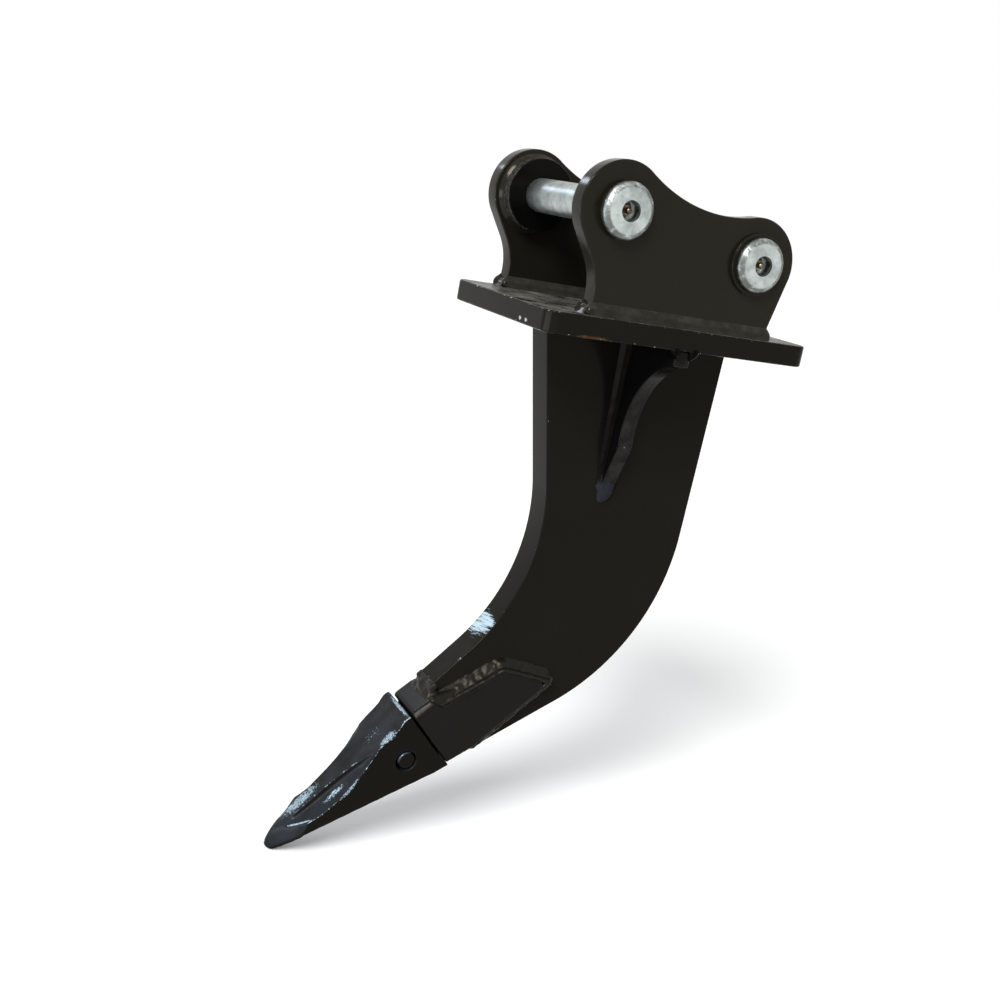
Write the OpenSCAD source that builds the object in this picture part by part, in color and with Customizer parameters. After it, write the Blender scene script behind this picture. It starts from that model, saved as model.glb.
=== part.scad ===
// Single-shank ripper for a small excavator, with pin ears, a curved shank and a pinned tooth.
// Millimetres. The origin is the middle of the front pin's axis. +X points to the rear, away from the tooth,
// +Y points to the right-hand side and +Z up, square to the top plate.

/* [Link pins] */
// Diameter of both link pins
pin_d = 40; // [30:1:50]
// Distance from the front pin back to the rear pin
pin_pitch = 185; // [170:1:230]
// How far the rear pin sits below the front pin
pin_drop = 32; // [10:1:50]
// Diameter of the collar at the head of a pin
head_d = 62; // [54:1:76]
// Thickness of the head collar
head_t = 11; // [8:0.5:20]
// Width of the bevel round the head collar's rim, across the face
head_bevel = 7; // [2:0.5:9]
// Depth of that bevel along the pin
head_bevel_depth = 4.5; // [1:0.5:7]
// Diameter of the grease well in the pin's end
well_d = 23; // [16:0.5:28]
// Depth of the grease well
well_depth = 16; // [8:0.5:25]
// Width of the grease nipple's hexagon, across its flats
nipple_af = 11; // [8:0.5:13]
// Height of the grease nipple
nipple_h = 13; // [8:0.5:20]
// Thickness of the washer behind a head collar
washer_t = 5; // [2:0.5:10]
// Outer diameter of the front washer
front_washer_d = 60; // [50:1:80]
// Outer diameter of the rear washer
rear_washer_d = 70; // [50:1:80]
// Radial clearance between a pin and its bores
pin_clear = 0.3; // [0.1:0.05:1]

/* [Retaining collars] */
// Outer diameter of the collar on the far end of a pin
collar_d = 62; // [56:1:80]
// Width of that collar along the pin
collar_w = 24; // [18:1:40]
// Diameter of the bolt through the collar and the pin
bolt_d = 12; // [8:1:14]
// Width of the bolt's head and nut, across the flats
bolt_af = 18; // [14:1:22]
// Thickness of the bolt's head and of the nut
bolt_head_t = 8; // [5:0.5:12]
// How far a pin stands out of its collar
pin_stick_out = 6; // [2:1:20]

/* [Ears] */
// Thickness of an ear plate
ear_t = 21; // [15:1:30]
// Clear width between the two ears
ear_gap = 192; // [160:1:230]
// Radius of the lobe round each pin
lobe_r = 52.6; // [48:0.2:58]
// Radius of the saddle between the lobes
saddle_r = 190; // [150:5:260]
// Front edge of the ear at its base
ear_front_x = -16; // [-30:1:0]
// Angle on the front lobe where its lower edge runs off
throat_angle = 212; // [205:1:220]
// Radius of the throat between the front lobe and the base
throat_r = 72; // [50:1:85]
// Angle on the rear lobe where the rear edge runs down
tail_angle = -14; // [-25:1:-5]
// Diameter of the boss discs on the inside of the ears
boss_d = 86; // [76:1:92]
// Thickness of a boss disc
boss_t = 18; // [10:0.5:25]
// Leg of the fillet weld round a boss disc
boss_weld = 7; // [4:0.5:8]
// Height of the weld along an ear's base
ear_weld_h = 14; // [6:0.5:18]
// Width of the weld along an ear's base
ear_weld_w = 8; // [5:0.5:9]

/* [Top plate] */
// Length of the top plate
plate_l = 352; // [340:1:400]
// Width of the top plate
plate_w = 254; // [253:1:320]
// Thickness of the top plate
plate_t = 25; // [16:1:40]
// Radius of the plate's corners
plate_corner_r = 17; // [8:1:30]
// Middle of the plate behind the front pin
plate_x = 106; // [95:0.5:115]
// Top face of the plate below the front pin
plate_drop = 115; // [100:1:140]

/* [Shank] */
// Thickness of the shank plate
shank_t = 40; // [30:1:50]
// Front edge of the shank at the plate
shank_front_x = -12.5; // [-30:0.5:10]
// Length of the shank along the plate
shank_l = 256; // [230:1:275]
// Lean of the upper front edge from the vertical
shank_front_lean = 12; // [6:0.5:16]
// Lean of the upper rear edge from the vertical
shank_rear_lean = 1.7; // [0:0.1:5]
// Slope of the lower front edge below the horizontal
shank_front_slope = 46; // [40:0.5:50]
// Slope of the lower rear edge below the horizontal
shank_rear_slope = 30.5; // [26:0.5:34]
// Radius of the hollow in the front edge
shank_front_r = 238; // [180:2:260]
// Radius of the heel in the rear edge
shank_rear_r = 276; // [200:2:300]
// Leg of the weld between the shank and the plate
shank_weld = 9; // [5:0.5:14]

/* [Gussets] */
// Thickness of a gusset rib
gusset_t = 20; // [12:1:30]
// Middle of the gussets behind the front pin
gusset_x = 110; // [95:1:125]
// How far a gusset reaches out from the shank
gusset_reach = 104; // [80:1:106]
// Height of the square edge at a gusset's outer end
gusset_toe = 18; // [8:1:25]
// How far the hollow in a gusset's free edge runs down
gusset_hollow_drop = 131; // [110:1:150]
// Width of a gusset at the lower end of its hollow
gusset_tail_w = 26; // [15:1:35]
// How far a gusset runs down the shank
gusset_drop = 188; // [165:1:220]
// Width of the square edge at a gusset's lower end
gusset_foot = 4; // [2:0.5:10]
// Radius of the hollow in a gusset's free edge
gusset_r = 101; // [85:1:160]
// Leg of the welds round a gusset
gusset_weld = 11; // [5:0.5:14]

/* [Tooth] */
// Middle of the tooth's rear end, along X
tooth_x = -76; // [-90:1:-60]
// Middle of the tooth's rear end, along Z
tooth_z = -658; // [-680:1:-640]
// Slope of the tooth below the horizontal
tooth_angle = 42; // [39:0.5:45]
// Length of the tooth from its rear end to its tip
tooth_l = 224; // [216:1:235]
// Height of the tooth at its rear end
tooth_h = 90; // [86:1:100]
// Width of the tooth at its rear end
tooth_w = 78; // [74:1:90]
// Width of the tooth where its nose starts
tooth_front_w = 62; // [56:1:68]
// Where the nose of the tooth starts, from its rear end
nose_s = 188; // [180:1:196]
// Height of the crest above the tooth's middle where the nose starts
nose_n = 21; // [16:0.5:26]
// Height of the crest above the tooth's middle behind the flutes
crest_n = 35; // [32:0.5:38]
// Length of the lip at the tooth's rear end
lip_l = 16; // [10:1:24]
// Fall of the nose's top facet towards the tip
nose_fall = 16; // [10:0.5:20]
// Half the width of the nose's top facet
nose_facet = 9; // [5:0.5:14]
// Turn of the nose's side facets away from the tooth's length
nose_yaw = 58.6; // [50:0.2:66]
// Tilt of the nose's side facets
nose_tilt = 49.6; // [42:0.2:56]
// Radius of the flutes beside the crest
flute_r = 24; // [18:0.5:28]
// Distance of a flute's middle from the tooth's middle
flute_y = 33; // [30:0.5:37]
// Radius of the run-in at a flute's rear end
flute_run_r = 120; // [90:2:160]
// Where a flute's run-in ends and its straight floor begins
flute_s = 115; // [105:1:125]
// Height of a flute's floor there, above the tooth's middle
flute_n = 15.5; // [13:0.5:20]
// Fall of a flute's floor towards the tip
flute_fall = 2.2; // [0:0.1:4]

/* [Tooth pin] */
// Diameter of the pin that holds the tooth
tooth_pin_d = 22; // [16:0.5:23]
// Diameter of the hole in the tooth's sides
tooth_hole_d = 26; // [25:0.5:30]
// Middle of that hole from the tooth's rear end
tooth_hole_s = 33; // [28:0.5:38]
// How far that hole lies below the tooth's middle
tooth_hole_drop = 2; // [0:0.5:4]
// How far the pin sits from the middle of the hole, towards the adapter
pin_draw = 1.2; // [0:0.1:1.4]
// How deep the pin's ends lie below the tooth's sides
pin_sink = 1.5; // [0.5:0.1:4]
// Outer diameter of the pin's retainer ring
retainer_d = 36; // [32:0.5:38]
// Thickness of the retainer ring
retainer_t = 7; // [4:0.5:8]

/* [Nose adapter] */
// Gap between the tooth and the adapter's shoulder
tooth_gap = 5; // [2:0.5:8]
// Width of the adapter over its cheeks
adapter_w = 74; // [66:1:76]
// Height of the adapter's flat top above the tooth's middle
strap_n = 42; // [38:0.5:44]
// Bevel along the top edges of the adapter
strap_bevel = 7; // [3:0.5:9]
// Seat of the shank's end behind the tooth's rear end
seat_s = 42; // [38:0.5:50]
// Length of the cheeks behind the tooth's rear end, along their lower edge
cheek_l = 166; // [140:1:190]
// Length of the cheeks behind the tooth's rear end, along their upper edge
cheek_top_l = 128; // [100:1:140]
// Bottom of the cheeks below the tooth's middle
cheek_n = 49; // [46:0.5:52]
// Length of the nose that carries the tooth
nose_l = 68; // [60:1:72]
// Height of that nose at the shoulder
nose_h = 66; // [58:1:68]
// Height of that nose at its end
nose_tip_h = 28; // [24:1:36]
// Width of that nose at the shoulder
nose_w = 50; // [44:1:52]
// Width of that nose at its end
nose_tip_w = 40; // [34:1:42]
// Clearance between the nose and the tooth's socket
socket_clear = 0.6; // [0.3:0.1:1.2]
// Leg of the weld beads along the cheeks
cheek_weld = 9; // [5:0.5:12]
// Clearance between the shank and the adapter's cheeks
slot_clear = 0.2; // [0.1:0.05:0.5]

/* [Hidden] */
$fn = 96;

black = "#24231f";
cast_black = "#2b2a28";
zinc = "#c9cdcd";
bright_steel = "#9a9b98";
yellow_zinc = "#b59a58";

// Overlap where a round edge runs into a straight one, so that the two cross cleanly
bite = 0.1;
// Overshoot of a cutting shape past the face that it cuts
over = 1;
// Fall of the adapter's flat top towards the shank
strap_fall = 1;

front_pin_at = [0, 0];
rear_pin_at = [pin_pitch, -pin_drop];
ear_out_y = ear_gap / 2 + ear_t;
bore_d = pin_d + 2 * pin_clear;
plate_top_z = -plate_drop;
plate_low_z = plate_top_z - plate_t;
shank_side_y = shank_t / 2;
head_back_y = ear_out_y + washer_t;
head_front_y = head_back_y + head_t;
collar_far_y = ear_out_y + collar_w;
lock_bolt_y = ear_out_y + collar_w / 2;

function polar(r, a) = [r * cos(a), r * sin(a)];
function heading(a) = [cos(a), sin(a)];
function left_of(u) = [-u[1], u[0]];
function toward(p, q) = (q - p) / norm(q - p);
function meet(p, u, q, v) = p + u * cross(q - p, v) / cross(u, v);

// Tooth frame: s runs from the tooth's rear end to its tip and n upwards across it
function tooth_pt(s, n) = [
  tooth_x - s * cos(tooth_angle) - n * sin(tooth_angle),
  tooth_z - s * sin(tooth_angle) + n * cos(tooth_angle)
];

module in_tooth_frame() {
  translate([tooth_x, 0, tooth_z])
    rotate([0, -tooth_angle, 0])
      rotate([0, 0, 180])
        children();
}

// An outline in the XZ plane made into a plate that is centred on y
module plate_xz(t, y = 0) {
  translate([0, y, 0])
    rotate([90, 0, 0])
      linear_extrude(t, center = true)
        children();
}

// A round bar along Y from y0 to y1
module bar_y(d, y0, y1, at) {
  translate([at[0], y1, at[1]])
    rotate([90, 0, 0])
      cylinder(d = d, h = y1 - y0);
}

// Cutter that rounds an outline's corner: u and v lead away from the corner p along its two edges
module corner_cut(p, u, v, r) {
  half = acos(u * v) / 2;
  mid = (u + v) / norm(u + v);
  run = r / tan(half);
  difference() {
    polygon([p + u * run, p - mid * r, p + v * run]);
    translate(p + mid * r / sin(half))
      circle(r + bite);
  }
}

module mirrored_y() {
  children();
  mirror([0, 1, 0])
    children();
}

// Ears

pin_step = norm(rear_pin_at - front_pin_at);
saddle_rise = sqrt(pow(lobe_r + saddle_r, 2) - pow(pin_step / 2, 2));
saddle_at = (front_pin_at + rear_pin_at) / 2 + left_of(toward(front_pin_at, rear_pin_at)) * saddle_rise;
saddle_front = front_pin_at + (saddle_at - front_pin_at) * (lobe_r - over) / (lobe_r + saddle_r);
saddle_rear = rear_pin_at + (saddle_at - rear_pin_at) * (lobe_r - over) / (lobe_r + saddle_r);
throat_from = front_pin_at + polar(lobe_r - bite, throat_angle);
throat_dir = heading(throat_angle + 90);
throat_at = meet(
  throat_from - left_of(throat_dir) * throat_r, throat_dir,
  [ear_front_x - throat_r, 0], [0, 1]
);
throat_top = throat_at + left_of(throat_dir) * throat_r;
tail_from = rear_pin_at + polar(lobe_r - bite, tail_angle);
tail_dir = heading(tail_angle - 90);
ear_rear = meet(tail_from, tail_dir, [0, plate_top_z], [1, 0]);

module ear_outline() {
  difference() {
    union() {
      difference() {
        polygon([
          throat_from, throat_top, [ear_front_x, throat_at[1]], [ear_front_x, plate_top_z],
          ear_rear, tail_from, saddle_rear, saddle_front, front_pin_at
        ]);
        translate(saddle_at)
          circle(saddle_r + bite);
        translate(throat_at)
          circle(throat_r + bite);
      }
      for (at = [front_pin_at, rear_pin_at])
        translate(at)
          circle(lobe_r);
    }
    for (at = [front_pin_at, rear_pin_at])
      translate(at)
        circle(d = bore_d);
  }
}

module ear(side) {
  color(black)
    plate_xz(ear_t, side * (ear_gap / 2 + ear_t / 2))
      ear_outline();
}

module left_ear() {
  ear(-1);
}

module right_ear() {
  ear(1);
}

// Boss disc on the inside of an ear
module boss(side, at) {
  face_y = side * ear_gap / 2;
  inner_y = face_y - side * boss_t;
  color(black)
    difference() {
      bar_y(boss_d, min(face_y, inner_y), max(face_y, inner_y), at);
      bar_y(bore_d, min(face_y, inner_y) - over, max(face_y, inner_y) + over, at);
    }
}

module front_left_boss() {
  boss(-1, front_pin_at);
}

module front_right_boss() {
  boss(1, front_pin_at);
}

module rear_left_boss() {
  boss(-1, rear_pin_at);
}

module rear_right_boss() {
  boss(1, rear_pin_at);
}

// Top plate

module plate_outline() {
  inner_l = plate_l - 2 * plate_corner_r;
  inner_w = plate_w - 2 * plate_corner_r;
  square([plate_l, inner_w], center = true);
  square([inner_l, plate_w], center = true);
  for (x = [-1, 1], y = [-1, 1])
    translate([x * inner_l / 2, y * inner_w / 2])
      circle(plate_corner_r);
}

module top_plate() {
  color(black)
    translate([plate_x, 0, plate_low_z])
      linear_extrude(plate_t)
        plate_outline();
}

// Shank

shank_top_front = [shank_front_x, plate_low_z];
shank_top_rear = [shank_front_x + shank_l, plate_low_z];
// The shank's end stands proud of the adapter above and below, and its upper corner is bevelled for the weld
end_rise = 9;
end_fall = 12;
end_bevel_l = 7;
end_s = -seat_s - slot_clear;
end_top = tooth_pt(end_s - end_bevel_l, strap_n + end_rise);
end_bevel = tooth_pt(end_s, strap_n - strap_fall);
end_low = tooth_pt(end_s, -cheek_n - end_fall);

front_dir = heading(shank_front_lean - 90);
front_low_dir = heading(180 + shank_front_slope);
front_at = meet(
  shank_top_front - left_of(front_dir) * shank_front_r, front_dir,
  end_top - left_of(front_low_dir) * shank_front_r, front_low_dir
);
front_upper = front_at + left_of(front_dir) * shank_front_r;
front_lower = front_at + left_of(front_low_dir) * shank_front_r;

rear_dir = heading(-90 - shank_rear_lean);
rear_low_dir = heading(180 + shank_rear_slope);
rear_corner = meet(shank_top_rear, rear_dir, end_low, rear_low_dir);

module shank_outline() {
  difference() {
    polygon([
      shank_top_front, front_upper, front_lower, end_top, end_bevel, end_low, rear_corner, shank_top_rear
    ]);
    translate(front_at)
      circle(shank_front_r + bite);
    corner_cut(rear_corner, -rear_dir, rear_low_dir, shank_rear_r);
  }
}

module shank() {
  color(black)
    plate_xz(shank_t)
      shank_outline();
}

// Gussets

gusset_out_y = shank_side_y + gusset_reach;
gusset_low_z = plate_low_z - gusset_drop;
gusset_toe_at = [gusset_out_y, plate_low_z - gusset_toe];
gusset_tail_at = [shank_side_y + gusset_tail_w, plate_low_z - gusset_hollow_drop];
gusset_chord = gusset_tail_at - gusset_toe_at;
gusset_sag = sqrt(pow(gusset_r, 2) - pow(norm(gusset_chord) / 2, 2));
gusset_at = (gusset_toe_at + gusset_tail_at) / 2 + left_of(toward(gusset_toe_at, gusset_tail_at)) * gusset_sag;

// A gusset's outline, in the YZ plane
module gusset_outline() {
  difference() {
    polygon([
      [shank_side_y, plate_low_z], [gusset_out_y, plate_low_z], gusset_toe_at, gusset_tail_at,
      [shank_side_y + gusset_foot, gusset_low_z], [shank_side_y, gusset_low_z]
    ]);
    translate(gusset_at)
      circle(gusset_r);
  }
}

module gusset() {
  color(black)
    translate([gusset_x, 0, 0])
      rotate([90, 0, 90])
        linear_extrude(gusset_t, center = true)
          gusset_outline();
}

module left_gusset() {
  mirror([0, 1, 0])
    gusset();
}

module right_gusset() {
  gusset();
}

// Nose adapter

shoulder_s = -tooth_gap;
// Bevels at the front edge of the flat top and under the shoulder
shoulder_bevel = 3;
strap_end_s = -seat_s + 8;
// Corners of a cheek: it drops behind the flat top, and its ends are rounded
cheek_root = [-seat_s + 2, strap_n - 17];
cheek_top_end = [-cheek_top_l, strap_n - 34];
cheek_low_end = [-cheek_l, -cheek_n + 2];
cheek_low_mid = [-seat_s, -cheek_n];
shoulder_low = [shoulder_s, -tooth_h / 2 + shoulder_bevel];
cheek_end_r = 9;

module adapter_outline() {
  rise = toward(cheek_low_end, cheek_top_end);
  difference() {
    polygon([
      [shoulder_s, strap_n - shoulder_bevel], [shoulder_s - shoulder_bevel, strap_n],
      [strap_end_s, strap_n - strap_fall], cheek_root, cheek_top_end, cheek_low_end, cheek_low_mid, shoulder_low
    ]);
    corner_cut(cheek_top_end, -rise, toward(cheek_top_end, cheek_root), cheek_end_r);
    corner_cut(cheek_low_end, rise, toward(cheek_low_end, cheek_low_mid), cheek_end_r);
  }
}

// The adapter's cross-section, with its upper edges bevelled
module adapter_section() {
  half = adapter_w / 2;
  polygon([
    [-half, -tooth_h], [half, -tooth_h], [half, strap_n - strap_bevel], [half - strap_bevel, strap_n + over],
    [strap_bevel - half, strap_n + over], [-half, strap_n - strap_bevel]
  ]);
}

// A wedge that narrows from the shoulder to its end, grown all round by a clearance
module nose_wedge(grow) {
  s0 = shoulder_s;
  s1 = nose_l + grow;
  intersection() {
    plate_xz(tooth_w)
      polygon([
        [s0, -nose_h / 2 - grow], [s1, -nose_tip_h / 2 - grow],
        [s1, nose_tip_h / 2 + grow], [s0, nose_h / 2 + grow]
      ]);
    translate([0, 0, -tooth_h / 2])
      linear_extrude(tooth_h)
        polygon([
          [s0, -nose_w / 2 - grow], [s1, -nose_tip_w / 2 - grow],
          [s1, nose_tip_w / 2 + grow], [s0, nose_w / 2 + grow]
        ]);
  }
}

tooth_hole_at = [tooth_hole_s, -tooth_hole_drop];
tooth_pin_at = tooth_hole_at - [pin_draw, 0];
// Half the nose's width where the pin crosses it
nose_side_y = (nose_w + (nose_tip_w - nose_w) * (tooth_pin_at[0] - shoulder_s) / (nose_l - shoulder_s)) / 2;
retainer_out_y = nose_side_y - socket_clear - 1;
retainer_in_y = retainer_out_y - retainer_t;

module nose_adapter() {
  color(cast_black)
    in_tooth_frame()
      difference() {
        union() {
          difference() {
            intersection() {
              plate_xz(adapter_w)
                adapter_outline();
              translate([-cheek_l - over, 0, 0])
                rotate([90, 0, 90])
                  linear_extrude(cheek_l)
                    adapter_section();
            }
            translate([-cheek_l - seat_s, -shank_side_y - slot_clear, -tooth_h])
              cube([cheek_l, shank_t + 2 * slot_clear, 2 * tooth_h]);
          }
          nose_wedge(0);
        }
        bar_y(tooth_pin_d + 2 * pin_clear, -adapter_w, adapter_w, tooth_pin_at);
        bar_y(retainer_d + 2 * pin_clear, retainer_in_y - pin_clear, adapter_w, tooth_pin_at);
      }
}

// Tooth

// Side profile: a rounded lip, a slope down to the crest, and a flat foot under the nose
lip_n = tooth_h / 2;
lip_round = 1;
lip_flat = lip_l * 0.45;
lip_fall = 4.5;
crest_s = lip_l + 35;
tip_n = nose_n - (tooth_l - nose_s) * tan(nose_fall);
foot_s = nose_s - 12;
tip_round = 3;

module tooth_side_outline() {
  polygon([
    [0, -tooth_h / 2], [0, lip_n - lip_round], [lip_round, lip_n], [lip_flat, lip_n], [lip_l, lip_n - lip_fall],
    [crest_s, crest_n], [nose_s, nose_n], [tooth_l - tip_round, tip_n + tip_round * tan(nose_fall)],
    [tooth_l, tip_n - tip_round], [tooth_l, tip_round], [tooth_l - tip_round, 0], [foot_s, 0]
  ]);
}

module tooth_plan_outline() {
  polygon([
    [0, -tooth_w / 2], [nose_s, -tooth_front_w / 2], [tooth_l - 2 * tip_round, -nose_facet - tip_round],
    [tooth_l, -nose_facet], [tooth_l, nose_facet], [tooth_l - 2 * tip_round, nose_facet + tip_round],
    [nose_s, tooth_front_w / 2], [0, tooth_w / 2]
  ]);
}

// Cutter of one flute: a bent run-in and then a straight trough out through the nose
module flute() {
  bend_r = flute_run_r - flute_r;
  translate([flute_s, flute_y, flute_n])
    rotate([0, flute_fall, 0]) {
      translate([0, 0, flute_run_r])
        rotate([90, 0, 0])
          rotate([0, 0, 180])
            rotate_extrude(angle = 90)
              translate([bend_r, 0])
                circle(flute_r);
      translate([0, 0, flute_r])
        rotate([0, 90, 0])
          cylinder(r = flute_r, h = tooth_l);
    }
}

// Cutter of one side facet of the nose
module nose_side_cut() {
  size = tooth_l;
  translate([nose_s, nose_facet, nose_n])
    rotate([0, 0, nose_yaw])
      rotate([0, nose_tilt, 0])
        translate([-size / 2, -size / 2, 0])
          cube(size);
}

module tooth() {
  color(cast_black)
    in_tooth_frame()
      difference() {
        intersection() {
          plate_xz(tooth_w + 2 * over)
            tooth_side_outline();
          translate([0, 0, -tooth_h])
            linear_extrude(2 * tooth_h)
              tooth_plan_outline();
        }
        nose_wedge(socket_clear);
        bar_y(tooth_hole_d, -tooth_w, tooth_w, tooth_hole_at);
        mirrored_y()
          flute();
        mirrored_y()
          nose_side_cut();
      }
}

tooth_side_y = (tooth_w + (tooth_front_w - tooth_w) * tooth_hole_s / nose_s) / 2;

module tooth_pin() {
  color(bright_steel)
    in_tooth_frame()
      bar_y(tooth_pin_d, -tooth_side_y + pin_sink, tooth_side_y - pin_sink, tooth_pin_at);
}

module tooth_pin_retainer() {
  color(bright_steel)
    in_tooth_frame()
      difference() {
        bar_y(retainer_d, retainer_in_y, retainer_out_y, tooth_pin_at);
        bar_y(tooth_pin_d + 2 * pin_clear, retainer_in_y - over, retainer_out_y + over, tooth_pin_at);
      }
}

// Link pins

module link_pin(at) {
  color(zinc)
    difference() {
      bar_y(pin_d, -head_front_y, collar_far_y + pin_stick_out, at);
      bar_y(well_d, -head_front_y - over, -head_front_y + well_depth, at);
      translate([at[0], lock_bolt_y, at[1] - collar_d])
        cylinder(d = bolt_d + 2 * pin_clear, h = 2 * collar_d);
    }
}

module front_pin() {
  link_pin(front_pin_at);
}

module rear_pin() {
  link_pin(rear_pin_at);
}

module head_collar(at) {
  color(zinc)
    translate([at[0], -head_back_y, at[1]])
      rotate([90, 0, 0])
        rotate_extrude()
          polygon([
            [bore_d / 2, 0], [head_d / 2, 0], [head_d / 2, head_t - head_bevel_depth],
            [head_d / 2 - head_bevel, head_t], [bore_d / 2, head_t]
          ]);
}

module front_head_collar() {
  head_collar(front_pin_at);
}

module rear_head_collar() {
  head_collar(rear_pin_at);
}

module washer(d, at) {
  color(black)
    difference() {
      bar_y(d, -head_back_y, -ear_out_y, at);
      bar_y(bore_d, -head_back_y - over, -ear_out_y + over, at);
    }
}

module front_washer() {
  washer(front_washer_d, front_pin_at);
}

module rear_washer() {
  washer(rear_washer_d, rear_pin_at);
}

// Grease nipple on the floor of a pin's well
module nipple(at) {
  hex_h = nipple_h * 0.4;
  neck_r = nipple_af * 0.27;
  tip_r = nipple_af * 0.33;
  color(yellow_zinc)
    translate([at[0], well_depth - head_front_y, at[1]])
      rotate([90, 0, 0]) {
        cylinder(d = nipple_af / cos(30), h = hex_h, $fn = 6);
        cylinder(r = neck_r, h = nipple_h - tip_r);
        translate([0, 0, nipple_h - tip_r])
          sphere(tip_r);
      }
}

module front_nipple() {
  nipple(front_pin_at);
}

module rear_nipple() {
  nipple(rear_pin_at);
}

// Flats on the lock collar for the bolt's head and nut
lock_flat = 4;
lock_face = collar_d / 2 - lock_flat;
lock_flat_w = collar_w - 4;

module lock_collar(at) {
  color(zinc)
    difference() {
      bar_y(collar_d, ear_out_y, collar_far_y, at);
      bar_y(bore_d, ear_out_y - over, collar_far_y + over, at);
      translate([at[0], lock_bolt_y, at[1] - collar_d])
        cylinder(d = bolt_d + 2 * pin_clear, h = 2 * collar_d);
      for (side = [-1, 1])
        translate([at[0], lock_bolt_y, at[1] + side * collar_d / 2])
          cube([collar_d, lock_flat_w, 2 * lock_flat], center = true);
    }
}

module front_lock_collar() {
  lock_collar(front_pin_at);
}

module rear_lock_collar() {
  lock_collar(rear_pin_at);
}

module lock_bolt(at) {
  color(zinc)
    translate([at[0], lock_bolt_y, at[1]]) {
      translate([0, 0, lock_face])
        cylinder(d = bolt_af / cos(30), h = bolt_head_t, $fn = 6);
      translate([0, 0, -lock_face - bolt_head_t - bolt_d / 4])
        cylinder(d = bolt_d, h = 2 * lock_face + bolt_head_t + bolt_d / 4 + over);
    }
}

module front_lock_bolt() {
  lock_bolt(front_pin_at);
}

module rear_lock_bolt() {
  lock_bolt(rear_pin_at);
}

module lock_nut(at) {
  color(zinc)
    translate([at[0], lock_bolt_y, at[1] - lock_face - bolt_head_t])
      difference() {
        cylinder(d = bolt_af / cos(30), h = bolt_head_t, $fn = 6);
        translate([0, 0, -over])
          cylinder(d = bolt_d + 2 * pin_clear, h = bolt_head_t + 2 * over);
      }
}

module front_lock_nut() {
  lock_nut(front_pin_at);
}

module rear_lock_nut() {
  lock_nut(rear_pin_at);
}

// Welds

// A fillet bead along X from x0 to x1, in the corner between a wall and a floor
module bead_x(x0, x1, w, h) {
  translate([x0, 0, 0])
    rotate([90, 0, 90])
      linear_extrude(x1 - x0)
        polygon([[0, 0], [w, 0], [w * 0.45, h * 0.45], [0, h]]);
}

// Beads on both faces of an ear's base
module ear_welds() {
  color(black)
    mirrored_y() {
      translate([0, ear_out_y, plate_top_z])
        bead_x(ear_front_x, ear_rear[0], ear_weld_w, ear_weld_h);
      translate([0, ear_gap / 2, plate_top_z])
        mirror([0, 1, 0])
          bead_x(ear_front_x, ear_rear[0], ear_weld_w, ear_weld_h);
    }
}

// Fillet ring round a boss disc
module boss_weld_ring(at) {
  translate([at[0], ear_gap / 2, at[1]])
    rotate([90, 0, 0])
      rotate_extrude()
        polygon([
          [boss_d / 2 + pin_clear, 0], [boss_d / 2 + boss_weld, 0],
          [boss_d / 2 + pin_clear + boss_weld * 0.4, boss_weld * 0.4], [boss_d / 2 + pin_clear, boss_weld]
        ]);
}

module boss_welds() {
  color(black)
    mirrored_y() {
      boss_weld_ring(front_pin_at);
      boss_weld_ring(rear_pin_at);
    }
}

// Beads under the top plate along both faces and both edges of the shank, clear of the gussets
module shank_welds() {
  gusset_clear_x = gusset_t / 2 + gusset_weld;
  color(black) {
    mirrored_y()
      translate([0, shank_side_y, plate_low_z])
        mirror([0, 0, 1]) {
          bead_x(shank_front_x + shank_weld, gusset_x - gusset_clear_x, shank_weld, shank_weld);
          bead_x(gusset_x + gusset_clear_x, shank_top_rear[0] - shank_weld, shank_weld, shank_weld);
        }
    plate_xz(shank_t) {
      polygon([shank_top_front, shank_top_front + front_dir * shank_weld, shank_top_front - [shank_weld, 0]]);
      polygon([shank_top_rear, shank_top_rear + rear_dir * shank_weld, shank_top_rear + [shank_weld, 0]]);
    }
  }
}

// Beads in the corners between a gusset, the shank and the plate
module gusset_corner_welds() {
  w = gusset_weld;
  translate([gusset_t / 2, shank_side_y, gusset_low_z + 2 * w])
    linear_extrude(gusset_drop - 3 * w)
      polygon([[0, 0], [w, 0], [w * 0.4, w * 0.4], [0, w]]);
  translate([gusset_t / 2, shank_side_y + w, plate_low_z])
    rotate([-90, 0, 0])
      linear_extrude(gusset_reach - 2 * w)
        polygon([[0, 0], [w, 0], [w * 0.4, w * 0.4], [0, w]]);
}

module gusset_welds() {
  color(black)
    translate([gusset_x, 0, 0])
      mirrored_y() {
        gusset_corner_welds();
        mirror([1, 0, 0])
          gusset_corner_welds();
      }
}

// A bead on the shank's side along one edge of a cheek, given by two points in the tooth frame
module cheek_bead(from, to) {
  along = to - from;
  trim = cheek_weld * 0.5;
  translate([from[0], 0, from[1]])
    rotate([0, -atan2(along[1], along[0]), 0])
      translate([trim, shank_side_y, 0])
        rotate([90, 0, 90])
          linear_extrude(norm(along) - 2 * trim)
            polygon([
              [0, slot_clear], [cheek_weld, slot_clear],
              [cheek_weld * 0.5, cheek_weld * 0.5], [0, cheek_weld * 1.3]
            ]);
}

module adapter_welds() {
  color(black)
    in_tooth_frame() {
      mirrored_y() {
        cheek_bead(cheek_top_end, cheek_root);
        cheek_bead(cheek_low_end, cheek_top_end);
        cheek_bead(cheek_low_mid, cheek_low_end);
      }
      plate_xz(shank_t)
        polygon([
          [end_s - end_bevel_l, strap_n + end_rise], [end_s + slot_clear, strap_n],
          [strap_end_s, strap_n], [end_s + slot_clear, strap_n + end_rise / 3]
        ]);
    }
}

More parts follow.
